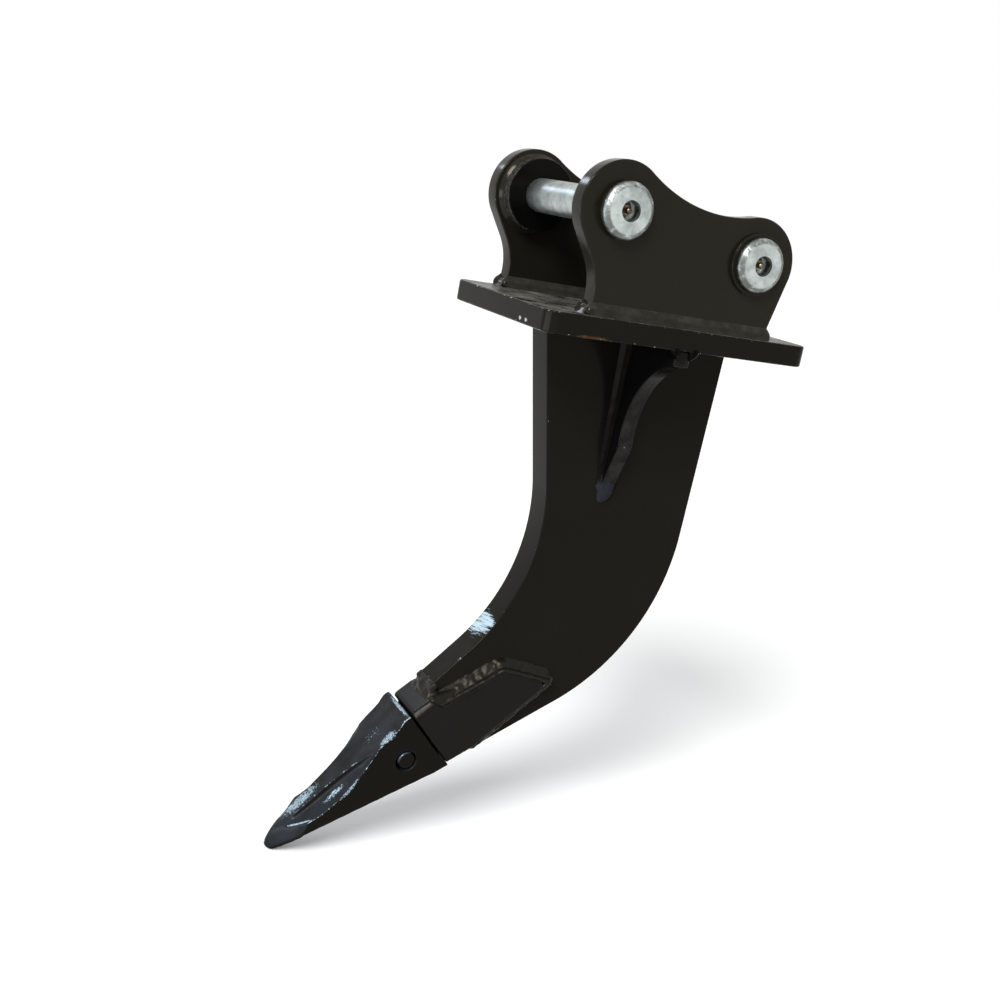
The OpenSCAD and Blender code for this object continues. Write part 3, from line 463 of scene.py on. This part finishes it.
# piece: node, finish, size of its rounded corners
roundedCorners = {
    "leftEarPlate": ("left_ear", enamelOnEars, 0.0018),
    "rightEarPlate": ("right_ear", enamelOnEars, 0.0018),
    "frontLeftBoss": ("front_left_boss", shadedEnamelOnBosses, 0.0015),
    "frontRightBoss": ("front_right_boss", shadedEnamelOnBosses, 0.0015),
    "rearLeftBoss": ("rear_left_boss", shadedEnamelOnBosses, 0.0015),
    "rearRightBoss": ("rear_right_boss", shadedEnamelOnBosses, 0.0015),
    "topPlate": ("top_plate", enamelOnPlate, 0.002),
    "shankPlate": ("shank", enamelOnShank, 0.002),
    "leftGussetRib": ("left_gusset", shadedEnamelOnGussets, 0.0016),
    "rightGussetRib": ("right_gusset", shadedEnamelOnGussets, 0.0016),
    "frontPinShaft": ("front_pin", zincOnPins, 0.0008),
    "rearPinShaft": ("rear_pin", zincOnPins, 0.0008),
    "frontHeadCollar": ("front_head_collar", zincOnCollars, 0.0022),
    "rearHeadCollar": ("rear_head_collar", zincOnCollars, 0.0022),
    "frontPinWasher": ("front_washer", enamelOnEars, 0.001),
    "rearPinWasher": ("rear_washer", enamelOnEars, 0.001),
    "frontLockCollar": ("front_lock_collar", zincOnBolts, 0.001),
    "rearLockCollar": ("rear_lock_collar", zincOnBolts, 0.001),
    "frontLockBolt": ("front_lock_bolt", zincOnBolts, 0.0006),
    "rearLockBolt": ("rear_lock_bolt", zincOnBolts, 0.0006),
    "frontLockNut": ("front_lock_nut", zincOnBolts, 0.0006),
    "rearLockNut": ("rear_lock_nut", zincOnBolts, 0.0006),
    "frontGreaseNipple": ("front_nipple", rustyNipple, 0.0003),
    "rearGreaseNipple": ("rear_nipple", yellowNipple, 0.0003),
    "toothPin": ("tooth_pin", paintAndHighlightOnToothPin, 0.0034),
    "toothPinRing": ("tooth_pin_retainer", paintAndHighlightOnToothPin, 0.0006),
}
for pieceName, (node, material, corner) in roundedCorners.items():
    softenedPiece(pieceName, node, material, corner)
print("plates, pins and fasteners softened:", len(roundedCorners))


# voxel copy of a mesh object's shape, as a new mesh
def voxelMesh(mesh, voxel):
    carrier = bpy.data.objects.new("voxelCarrier", mesh)
    scene.collection.objects.link(carrier)
    remesh = carrier.modifiers.new("voxels", "REMESH")
    remesh.mode = "VOXEL"
    remesh.voxel_size = voxel
    result = bpy.data.meshes.new_from_object(carrier.evaluated_get(bpy.context.evaluated_depsgraph_get()))
    bpy.data.objects.remove(carrier)
    return result


def sourceMesh(node):
    bm = mergedCopy(node)
    bmesh.ops.triangulate(bm, faces=bm.faces)
    mesh = bpy.data.meshes.new(node + "Source")
    bm.to_mesh(mesh)
    bm.free()
    return mesh


def smoothMesh(mesh, rounds):
    bm = bmesh.new()
    bm.from_mesh(mesh)
    for _ in range(rounds):
        bmesh.ops.smooth_vert(bm, verts=bm.verts, factor=0.5, use_axis_x=True, use_axis_y=True, use_axis_z=True)
    for face in bm.faces:
        face.smooth = True
    bm.to_mesh(mesh)
    bm.free()


# how far each point stands out of its surroundings: 0 on flats, 1 on an outer edge
def markRidges(mesh, shape):
    count = len(mesh.vertices)
    points = np.zeros(count * 3)
    mesh.vertices.foreach_get("co", points)
    points = points.reshape(-1, 3)
    normals = np.array([v.normal for v in mesh.vertices])
    ends = np.zeros(len(mesh.edges) * 2, np.int64)
    mesh.edges.foreach_get("vertices", ends)
    ends = ends.reshape(-1, 2)
    degree = np.maximum(np.bincount(ends.ravel(), minlength=count), 1)[:, None]
    smooth = points.copy()
    for _ in range(shape["ridgeRounds"]):
        total = np.zeros_like(smooth)
        np.add.at(total, ends[:, 0], smooth[ends[:, 1]])
        np.add.at(total, ends[:, 1], smooth[ends[:, 0]])
        smooth = total / degree
    height = np.einsum("ij,ij->i", points - smooth, normals) / shape["ridgeHeight"]
    above = (points - np.array(toothPoint(0, 0, 0))) @ np.array(toothTop)
    height[above < shape["ridgeLowest"]] = 0
    layer = mesh.attributes.new("rubbed", "FLOAT", "POINT")
    layer.data.foreach_set("value", np.clip(height, 0, 1).astype(np.float32))


def alongTooth(point):
    cosA, sinA = math.cos(tooth["angle"]), math.sin(tooth["angle"])
    return -(point.x - tooth["at"][0]) * cosA - (point.z - tooth["at"][1]) * sinA


# the tooth's top carved between its lines: a flat crest, a low steep wall, and a hollow scoop falling to the side
def carveFlutes(mesh, shape):
    bm = bmesh.new()
    bm.from_mesh(mesh)
    bm.normal_update()
    middle, upward = toothPoint(0, 0, 0), Vector(toothTop)
    lines = {name: tuple(zip(*shape[name])) for name in ("crest", "ribEdge", "crease", "rim", "side")}
    for v in bm.verts:
        s, n, y = alongTooth(v.co), (v.co - middle).dot(upward), abs(v.co.y)
        if not shape["from"] < s < shape["to"] or n < shape["lowest"]:
            continue
        crest, ribEdge, crease, rim, side = (float(np.interp(s, *lines[name])) for name in lines)
        foot = ribEdge + shape["wall"]
        share = min(max((y - foot) / (side - foot), 0), 1)
        height = crease + (rim - crease) * share - shape["hollow"] * 4 * share * (1 - share)
        if y < foot:
            height += (crest - crease) * min((foot - y) / shape["wall"], 1)
        onTop = v.normal.dot(upward) > shape["topFacing"] and y < side - shape["sideClear"]
        if n > height or (onTop and s < shape["filledTo"]):
            v.co += upward * (height - n)
    bm.to_mesh(mesh)
    bm.free()


# the worn, blunted point, and the socket rim drawn back to close on the adapter
def wearTooth(mesh, shape):
    bm = bmesh.new()
    bm.from_mesh(mesh)
    point = [v for v in bm.verts if alongTooth(v.co) > shape["wornFrom"]]
    for _ in range(shape["wornRounds"]):
        bmesh.ops.smooth_vert(bm, verts=point, factor=0.5, use_axis_x=True, use_axis_y=True, use_axis_z=True)
    bm.normal_update()
    for v in point:
        share = min((alongTooth(v.co) - shape["wornFrom"]) / shape["wornBlend"], 1)
        v.co += v.normal * shape["fullness"] * share
    backward = toothPoint(-1, 0, 0) - toothPoint(0, 0, 0)
    for v in bm.verts:
        share = min(max(1 - alongTooth(v.co) / shape["rimLength"], 0), 1)
        height = (v.co - toothPoint(0, 0, 0)).dot(Vector(toothTop))
        v.co += backward * share * (shape["sillStretch"] if height < shape["sill"] else shape["rimStretch"])
    bm.to_mesh(mesh)
    bm.free()


adapterSkin = {"voxel": 0.0012, "rounds": 8}
mesh = voxelMesh(sourceMesh("nose_adapter"), adapterSkin["voxel"])
smoothMesh(mesh, adapterSkin["rounds"])
newPiece("noseAdapter", mesh, paintOnAdapter, "nose_adapter")
casting = {
    "voxel": 0.00095, "rounds": 5, "rimStretch": 0.0028, "rimLength": 0.014, "sill": -0.024, "sillStretch": 0.0051,
    "wornFrom": 0.178, "wornBlend": 0.03, "wornRounds": 40, "fullness": 0.0022,
    "ridgeRounds": 16, "ridgeHeight": 0.0012, "ridgeLowest": 0.004,
}
# each line: distance from the socket's rim, then height above the tooth's middle line, or for ribEdge and side the
# distance from it
flutes = {
    "from": 0.046, "to": 0.203, "filledTo": 0.158, "lowest": 0.004, "wall": 0.0018, "hollow": 0.0012,
    "topFacing": 0.3, "sideClear": 0.001,
    "crest": ((0.046, 0.0358), (0.058, 0.0330), (0.08, 0.0306), (0.106, 0.0280), (0.134, 0.0252), (0.172, 0.0213),
              (0.205, 0.0161)),
    "ribEdge": ((0.046, 0.037), (0.058, 0.0295), (0.08, 0.0215), (0.096, 0.0177), (0.114, 0.0146), (0.134, 0.0126),
                (0.172, 0.01), (0.205, 0.004)),
    "crease": ((0.046, 0.0358), (0.052, 0.0344), (0.064, 0.0294), (0.08, 0.0256), (0.096, 0.0235), (0.114, 0.0216),
               (0.134, 0.0197), (0.153, 0.0178), (0.172, 0.0165), (0.187, 0.0161), (0.196, 0.0168), (0.205, 0.0161)),
    "rim": ((0.046, 0.0358), (0.052, 0.0345), (0.062, 0.0303), (0.07, 0.027), (0.08, 0.0227), (0.09, 0.02),
            (0.11, 0.014), (0.126, 0.0113), (0.143, 0.0097), (0.156, 0.0104), (0.165, 0.012), (0.205, 0.0112)),
    "side": ((0.0, 0.039), (0.224, 0.031)),
}
mesh = voxelMesh(sourceMesh("tooth"), casting["voxel"])
carveFlutes(mesh, flutes)
mesh = voxelMesh(mesh, casting["voxel"])
smoothMesh(mesh, casting["rounds"])
wearTooth(mesh, casting)
markRidges(mesh, casting)
newPiece("ripperTooth", mesh, paintOnTooth, "tooth")
print("castings ready, tooth", len(mesh.polygons), "faces")


up, down = (0, 0, 1), (0, 0, -1)
# sizes that all the beads share; runs and drops are the spatter's two sizes
bead = {
    "bury": 0.003, "pitch": 0.004, "overlap": 1.25, "crown": 0.0007, "drop": 0.0035, "drift": 0.001,
    "ringSteps": 72, "ringWidth": 0.7, "ringLumps": 0.2, "voxel": 0.0014, "rounds": 4,
    "runs": 0.0085, "drops": 0.0034, "dropShare": 0.45,
}


# a weld bead: a fillet whose toes run into both walls, with flat ripples along it
def layBead(bm, start, end, wallOut, floorOut, leg, seed, lumpy=0.2, taper=1.0):
    start, end, wallOut, floorOut = Vector(start), Vector(end), Vector(wallOut), Vector(floorOut)
    length = (end - start).length
    along = (end - start).normalized()
    slope = wallOut * leg[0] - floorOut * leg[1]
    toe = slope.normalized() * bead["bury"]
    deep = (wallOut + floorOut) * -bead["bury"]
    rings = []
    for at, size in ((start, 1.0), (end, taper)):
        outline = (wallOut * leg[0] * size + toe, floorOut * leg[1] * size - toe, deep)
        rings.append([bm.verts.new(at + point) for point in outline])
    for i in range(3):
        bm.faces.new((rings[0][i], rings[0][i - 1], rings[1][i - 1], rings[1][i]))
    bm.faces.new(rings[0])
    bm.faces.new(rings[1])
    outward = (wallOut * leg[1] + floorOut * leg[0]).normalized()
    turn = Matrix((along, along.cross(outward), outward)).transposed().to_4x4()
    steps = max(int(length / bead["pitch"]), 2)
    for step in range(steps + 1):
        size = 1 + (taper - 1) * step / steps
        swell = 1 + lumpy * noise.noise(Vector((step * 0.61, seed + 7.3, 2.5)))
        shift = noise.noise(Vector((step * 0.37, seed, 0.5)))
        centre = start.lerp(end, step / steps) + (wallOut * leg[0] + floorOut * leg[1]) * size / 2
        centre += outward * (bead["crown"] * (1 + 3 * lumpy * shift) - bead["drop"]) + along * shift * bead["drift"]
        ripple = (bead["pitch"] * bead["overlap"], slope.length * 0.5 * swell * size, bead["drop"])
        reach = Matrix.Diagonal((*ripple, 1))
        bmesh.ops.create_icosphere(bm, subdivisions=2, radius=1, matrix=Matrix.Translation(centre) @ turn @ reach)


def addLump(bm, centre, size):
    place = Matrix.Translation(centre) @ Matrix.Diagonal((*size, 1))
    bmesh.ops.create_icosphere(bm, subdivisions=2, radius=1, matrix=place)


# the same fillet round a boss, spun about the pin's line
def layRing(bm, centre, radius, side, leg, seed):
    centre = Vector(centre)
    inward = Vector((0, -side, 0))
    bury = bead["bury"]
    profile = [Vector((radius + leg + bury, 0, 0)) - inward * bury,
               Vector((radius - bury, 0, 0)) + inward * (leg + bury),
               Vector((radius - bury, 0, 0)) - inward * bury]
    corners = [bm.verts.new(centre + point) for point in profile]
    edges = [bm.edges.new((corners[i], corners[i - 1])) for i in range(3)]
    bmesh.ops.spin(bm, geom=corners + edges, cent=centre, axis=(0, 1, 0), angle=2 * math.pi,
                   steps=bead["ringSteps"], use_merge=True)
    steps = int(2 * math.pi * radius / bead["pitch"])
    for step in range(steps):
        angle = 2 * math.pi * step / steps
        radial = Vector((math.cos(angle), 0, math.sin(angle)))
        along = Vector((-math.sin(angle), 0, math.cos(angle)))
        outward = (radial + inward).normalized()
        swell = 1 + bead["ringLumps"] * noise.noise(Vector((step * 0.53, seed, 1.5)))
        point = centre + radial * (radius + leg / 2) + inward * leg / 2
        point += outward * (bead["crown"] * swell - bead["drop"])
        turn = Matrix((along, along.cross(outward), outward)).transposed().to_4x4()
        ripple = (bead["pitch"] * bead["overlap"], leg * bead["ringWidth"] * swell, bead["drop"])
        size = Matrix.Diagonal((*ripple, 1))
        bmesh.ops.create_icosphere(bm, subdivisions=2, radius=1, matrix=Matrix.Translation(point) @ turn @ size)


# uneven runs and drops, about 8 mm and 3 mm across
def roughen(mesh, depth):
    bm = bmesh.new()
    bm.from_mesh(mesh)
    bm.normal_update()
    for v in bm.verts:
        bumps = noise.noise(v.co / bead["runs"]) + bead["dropShare"] * noise.noise(v.co / bead["drops"])
        v.co += v.normal * depth * bumps
    bm.to_mesh(mesh)
    bm.free()


# the beads of one joint grown together into one mesh
def fuseBeads(name, bm, material, node, rounds=bead["rounds"], spatter=0.0):
    source = bpy.data.meshes.new(name + "Source")
    bm.to_mesh(source)
    bm.free()
    mesh = voxelMesh(source, bead["voxel"])
    smoothMesh(mesh, rounds)
    if spatter:
        roughen(mesh, spatter)
    newPiece(name, mesh, material, node)
    print(name, len(mesh.polygons), "faces")


earWeld = {"sideLeg": (0.0085, 0.014), "sideLumps": 0.45, "endLeg": (0.007, 0.01), "endLumps": 0.4,
           "frontRun": 0.002, "rearRun": 0.003, "cornerSizes": (0.007, 0.006), "cornerAt": (-0.001, 0.003)}
plateTop, plateLow = headstock["plateTop"], headstock["plateLow"]
earFront, earRear = headstock["earFront"], headstock["earRear"]
bm = bmesh.new()
for side in (-1, 1):
    outer, inner = side * headstock["earOut"], side * headstock["earIn"]
    for y, wallOut, seed in ((outer, side, 1.1), (inner, -side, 5.2)):
        layBead(bm, (earFront - earWeld["frontRun"], y, plateTop), (earRear + earWeld["rearRun"], y, plateTop),
                (0, wallOut, 0), up, earWeld["sideLeg"], seed + side, earWeld["sideLumps"])
    for x, wallOut in ((earFront, -1), (earRear, 1)):
        layBead(bm, (x, inner, plateTop), (x, outer, plateTop), (wallOut, 0, 0), up,
                earWeld["endLeg"], 3.3 * side + x, earWeld["endLumps"])
    for y, size in zip((outer, inner), earWeld["cornerSizes"]):
        addLump(bm, (earFront + earWeld["cornerAt"][0], y, plateTop + earWeld["cornerAt"][1]), (size, size, size * 1.2))
fuseBeads("earWeldBeads", bm, enamelOnWelds, "ear_welds")

bossWeld = {"leg": 0.0045}
bm = bmesh.new()
for side in (-1, 1):
    for number, pin in enumerate(headstock["pins"]):
        layRing(bm, (pin[0], side * headstock["earIn"], pin[1]), headstock["bossRadius"], side,
                bossWeld["leg"], number * 3.7 + side)
fuseBeads("bossWeldRings", bm, enamelOnWelds, "boss_welds")

# runs: from x, to x, seed; ends: x and the way out
shankWeld = {"leg": (0.009, 0.009), "runs": ((-0.012, 0.09, 0.4), (0.13, 0.243, 6.1)),
             "ends": ((-0.0125, -1), (0.2435, 1))}
shankSide = headstock["shankSide"]
bm = bmesh.new()
for side in (-1, 1):
    wall = side * shankSide
    for x0, x1, seed in shankWeld["runs"]:
        layBead(bm, (x0, wall, plateLow), (x1, wall, plateLow), (0, side, 0), down, shankWeld["leg"], seed + side)
for x, wallOut in shankWeld["ends"]:
    layBead(bm, (x, -shankSide, plateLow), (x, shankSide, plateLow), (wallOut, 0, 0), down,
            shankWeld["leg"], 9.1 * wallOut)
fuseBeads("shankWeldBeads", bm, enamelOnSeat, "shank_welds")

# ends: x from the gusset's middle, height and size of the lumps below it; corners: x and size of those at its toe
gusset = {
    "x": 0.11, "half": 0.01, "toe": 0.124, "low": -0.33, "sideLeg": (0.01, 0.011), "taper": 0.45, "topLeg": (0.01, 0.01),
    "topLumps": 0.35, "ends": ((0.0, -0.328, (0.0125, 0.0075, 0.02)), (-0.004, -0.341, (0.007, 0.004, 0.009))),
    "corners": ((-0.011, 0.007), (0.012, 0.0075)),
}
bm = bmesh.new()
for side in (-1, 1):
    wall = side * shankSide
    for face in (-1, 1):
        x = gusset["x"] + face * gusset["half"]
        layBead(bm, (x, wall, plateLow - 0.002), (x, wall, gusset["low"]), (face, 0, 0), (0, side, 0),
                gusset["sideLeg"], 2.2 * face + side, taper=gusset["taper"])
        layBead(bm, (x, wall, plateLow), (x, side * (gusset["toe"] + 0.002), plateLow), (face, 0, 0), down,
                gusset["topLeg"], 4.9 * face + side, gusset["topLumps"])
    for x, z, size in gusset["ends"]:
        addLump(bm, (gusset["x"] + x, wall, z), size)
    for x, size in gusset["corners"]:
        addLump(bm, (gusset["x"] + x, side * (gusset["toe"] - 0.003), plateLow), (size, size * 1.3, size * 0.8))
fuseBeads("gussetWeldBeads", bm, dullShadedOnWelds, "gusset_welds")

# the adapter's welds, in the tooth's own s and n: a fillet round each cheek with a wavy cord as its last pass
cheek = {
    "corners": ((-0.040, 0.025), (-0.128, 0.008), (-0.166, -0.047), (-0.042, -0.049)), "middle": (-0.09, -0.015),
    "leg": (0.0125, 0.014), "lumps": 0.12, "cord": 0.0031, "cordPitch": 0.0022, "cordOut": 0.0128, "cordAway": 0.0012,
    "wave": 0.0012, "swell": 0.22, "turnOut": 0.0225, "turnSize": (0.0105, 0.008, 0.0105),
}
# rows of ripples across the block's end, the fill under them, drops on them, and a ramp down to each cheek
ripples = {"rows": 8, "count": 13, "from": (-0.0488, 0.0467), "by": (0.0183, -0.0081), "wave": 0.0011,
           "side": -0.0205, "pitch": 0.0034, "size": (0.0042, 0.0036, 0.0042)}
fill = {"count": 12, "at": (-0.0385, 0.034), "side": -0.022, "pitch": 0.004, "size": (0.0085, 0.0055, 0.009)}
drops = {"count": 30, "from": (-0.0475, 0.0502), "by": (0.0165, -0.0078), "side": -0.0205, "width": 0.041,
         "size": 0.0022, "vary": 0.0012}
ramp = {"count": 8, "from": (-0.036, 0.033, 0.0275), "by": (-0.036, -0.013, -0.004), "size": 0.0085, "shrink": 0.003}
bm = bmesh.new()
for side in (-1, 1):
    wall = side * shankSide
    for number in range(3):
        (s0, n0), (s1, n1) = cheek["corners"][number], cheek["corners"][number + 1]
        start, end = toothPoint(s0, n0, wall), toothPoint(s1, n1, wall)
        run = toothPoint(s1, n1, 0) - toothPoint(s0, n0, 0)
        away = Vector((0, 1, 0)).cross(run).normalized()
        if (toothPoint(s0, n0, 0) - toothPoint(*cheek["middle"], 0)).dot(away) < 0:
            away = -away
        layBead(bm, start, end, (0, side, 0), away, cheek["leg"], number * 2.9 + side, cheek["lumps"])
        steps = int(run.length / cheek["cordPitch"])
        for step in range(steps + 1):
            wave = noise.noise(Vector((step * 0.31, number * 4.1 + side, 0.4)))
            out = Vector((0, side * (cheek["cordOut"] + cheek["wave"] * wave), 0))
            at = start + run * step / steps + out + away * cheek["cordAway"]
            size = cheek["cord"] * (1 + cheek["swell"] * noise.noise(Vector((step * 0.57, number + 2.2, side))))
            addLump(bm, at, (size, size, size))
for row in range(ripples["rows"]):
    share = row / (ripples["rows"] - 1)
    s, n = (ripples["from"][i] + ripples["by"][i] * share for i in (0, 1))
    for step in range(ripples["count"]):
        wave = ripples["wave"] * noise.noise(Vector((row * 0.9, step * 0.8, 3.7)))
        addLump(bm, toothPoint(s, n + wave, ripples["side"] + step * ripples["pitch"]), ripples["size"])
for step in range(fill["count"]):
    addLump(bm, toothPoint(*fill["at"], fill["side"] + step * fill["pitch"]), fill["size"])
for step in range(drops["count"]):
    across, share = (step * 0.618) % 1, (step * 0.382 + 0.2) % 1
    s, n = (drops["from"][i] + share * drops["by"][i] for i in (0, 1))
    size = drops["size"] + drops["vary"] * ((step * 0.7549) % 1)
    addLump(bm, toothPoint(s, n, drops["side"] + across * drops["width"]), (size, size * 1.3, size * 0.8))
for side in (-1, 1):
    for step in range(ramp["count"]):
        share = step / (ramp["count"] - 1)
        s, n, y = (ramp["from"][i] + ramp["by"][i] * share for i in (0, 1, 2))
        size = ramp["size"] - ramp["shrink"] * share
        addLump(bm, toothPoint(s, n, side * y), (size, size * 0.85, size))
    for s, n in cheek["corners"][1:3]:
        addLump(bm, toothPoint(s, n, side * cheek["turnOut"]), cheek["turnSize"])
fuseBeads("adapterWeldBeads", bm, enamelOnSeat, "adapter_welds", rounds=5, spatter=0.001)
print("welds laid")


# the rays that see the white surroundings: camera, reflections, and through glass
def whiteRays(tree):
    path = addNode(tree, "ShaderNodeLightPath").node.outputs
    seen = path["Is Camera Ray"]
    for ray in ("Is Glossy Ray", "Is Transmission Ray"):
        seen = addNode(tree, "ShaderNodeMath", larger, {0: seen, 1: path[ray]})
    return seen


# plain pale floor under the tip, white to the camera and in reflections, and still carrying the shadow
studio = {"floor": "#f5f5f4", "floorGlow": 0.14, "floorSize": 30, "floorClear": 0.0002, "worldFill": 0.42}
bm = bmesh.new()
bmesh.ops.create_grid(bm, x_segments=2, y_segments=2, size=studio["floorSize"])
bmesh.ops.translate(bm, verts=bm.verts, vec=(0, 0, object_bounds()[0][2] - studio["floorClear"]))
floorMesh = bpy.data.meshes.new("studioFloor")
bm.to_mesh(floorMesh)
bm.free()
floor = bpy.data.objects.new("studioFloor", floorMesh)
scene.collection.objects.link(floor)
floorMaterial, tree = newMaterial("Pale studio floor")
strength = addNode(tree, "ShaderNodeMath", times, {0: whiteRays(tree), 1: studio["floorGlow"]})
matt = addNode(tree, "ShaderNodeBsdfDiffuse", None, {"Color": linear(studio["floor"])})
glow = addNode(tree, "ShaderNodeEmission", None, {"Color": (1, 1, 1, 1), "Strength": strength})
pale = addNode(tree, "ShaderNodeAddShader", None, {0: matt, 1: glow})
addNode(tree, "ShaderNodeOutputMaterial", None, {"Surface": pale})
floorMesh.materials.append(floorMaterial)

world = bpy.data.worlds.new("studioWorld")
scene.world = world
world.use_nodes = True
tree = world.node_tree
tree.nodes.clear()
strength = addNode(tree, "ShaderNodeMix", None, {0: whiteRays(tree), 2: studio["worldFill"], 3: 1.0})
sky = addNode(tree, "ShaderNodeBackground", None, {"Color": (1, 1, 1, 1), "Strength": strength})
addNode(tree, "ShaderNodeOutputWorld", None, {"Surface": sky})

# one broad key from the upper left, a panel at the left for the corners and a box behind for the rims
keySun = {"power": 3.4, "spread": math.radians(24), "towards": (0.607, 0.519, -0.6)}
key = bpy.data.lights.new("keyLight", "SUN")
key.energy = keySun["power"]
key.angle = keySun["spread"]
keyObject = bpy.data.objects.new("keyLight", key)
scene.collection.objects.link(keyObject)
keyObject.matrix_world = Vector(keySun["towards"]).to_track_quat("-Z", "Y").to_matrix().to_4x4()
softboxes = {
    "leftPanel": {"at": (-1.7, -0.25, -0.38), "to": (-0.05, -0.1, -0.3), "width": 1.4, "height": 0.5,
                  "power": 15.0, "tint": "#e8f0ff"},
    "backBox": {"at": (-0.95, 2.4, 1.15), "to": (0.0, 0.0, -0.2), "width": 0.5, "height": 0.3,
                "power": 7.0, "tint": "#dbe8ff"},
}
for boxName, box in softboxes.items():
    light = bpy.data.lights.new(boxName, "AREA")
    light.shape = "RECTANGLE"
    light.size, light.size_y, light.energy = box["width"], box["height"], box["power"]
    light.color = linear(box["tint"])[:3]
    boxObject = bpy.data.objects.new(boxName, light)
    scene.collection.objects.link(boxObject)
    aim = Vector(box["to"]) - Vector(box["at"])
    boxObject.matrix_world = Matrix.Translation(box["at"]) @ aim.to_track_quat("-Z", "Y").to_matrix().to_4x4()
    boxObject.visible_camera = False

# camera where the photograph was taken from
shot = {"at": (-0.7273, -1.3329, -0.0098), "azimuth": -27.96, "elevation": 13.03, "roll": 10.71,
        "lens": 46.46, "sensor": 36}
azimuth, elevation, roll = (math.radians(shot[angle]) for angle in ("azimuth", "elevation", "roll"))
level = math.cos(elevation)
back = Vector((math.sin(azimuth) * level, -math.cos(azimuth) * level, math.sin(elevation)))
right = Vector((math.cos(azimuth), math.sin(azimuth), 0))
rise = back.cross(right)
cameraRight = right * math.cos(roll) + rise * math.sin(roll)
cameraUp = rise * math.cos(roll) - right * math.sin(roll)
camera = bpy.data.objects.new("camera", bpy.data.cameras.new("camera"))
camera.data.lens = shot["lens"]
camera.data.sensor_width = shot["sensor"]
cameraTurn = Matrix((cameraRight, cameraUp, back)).transposed().to_4x4()
camera.matrix_world = Matrix.Translation(shot["at"]) @ cameraTurn
scene.collection.objects.link(camera)
scene.camera = camera
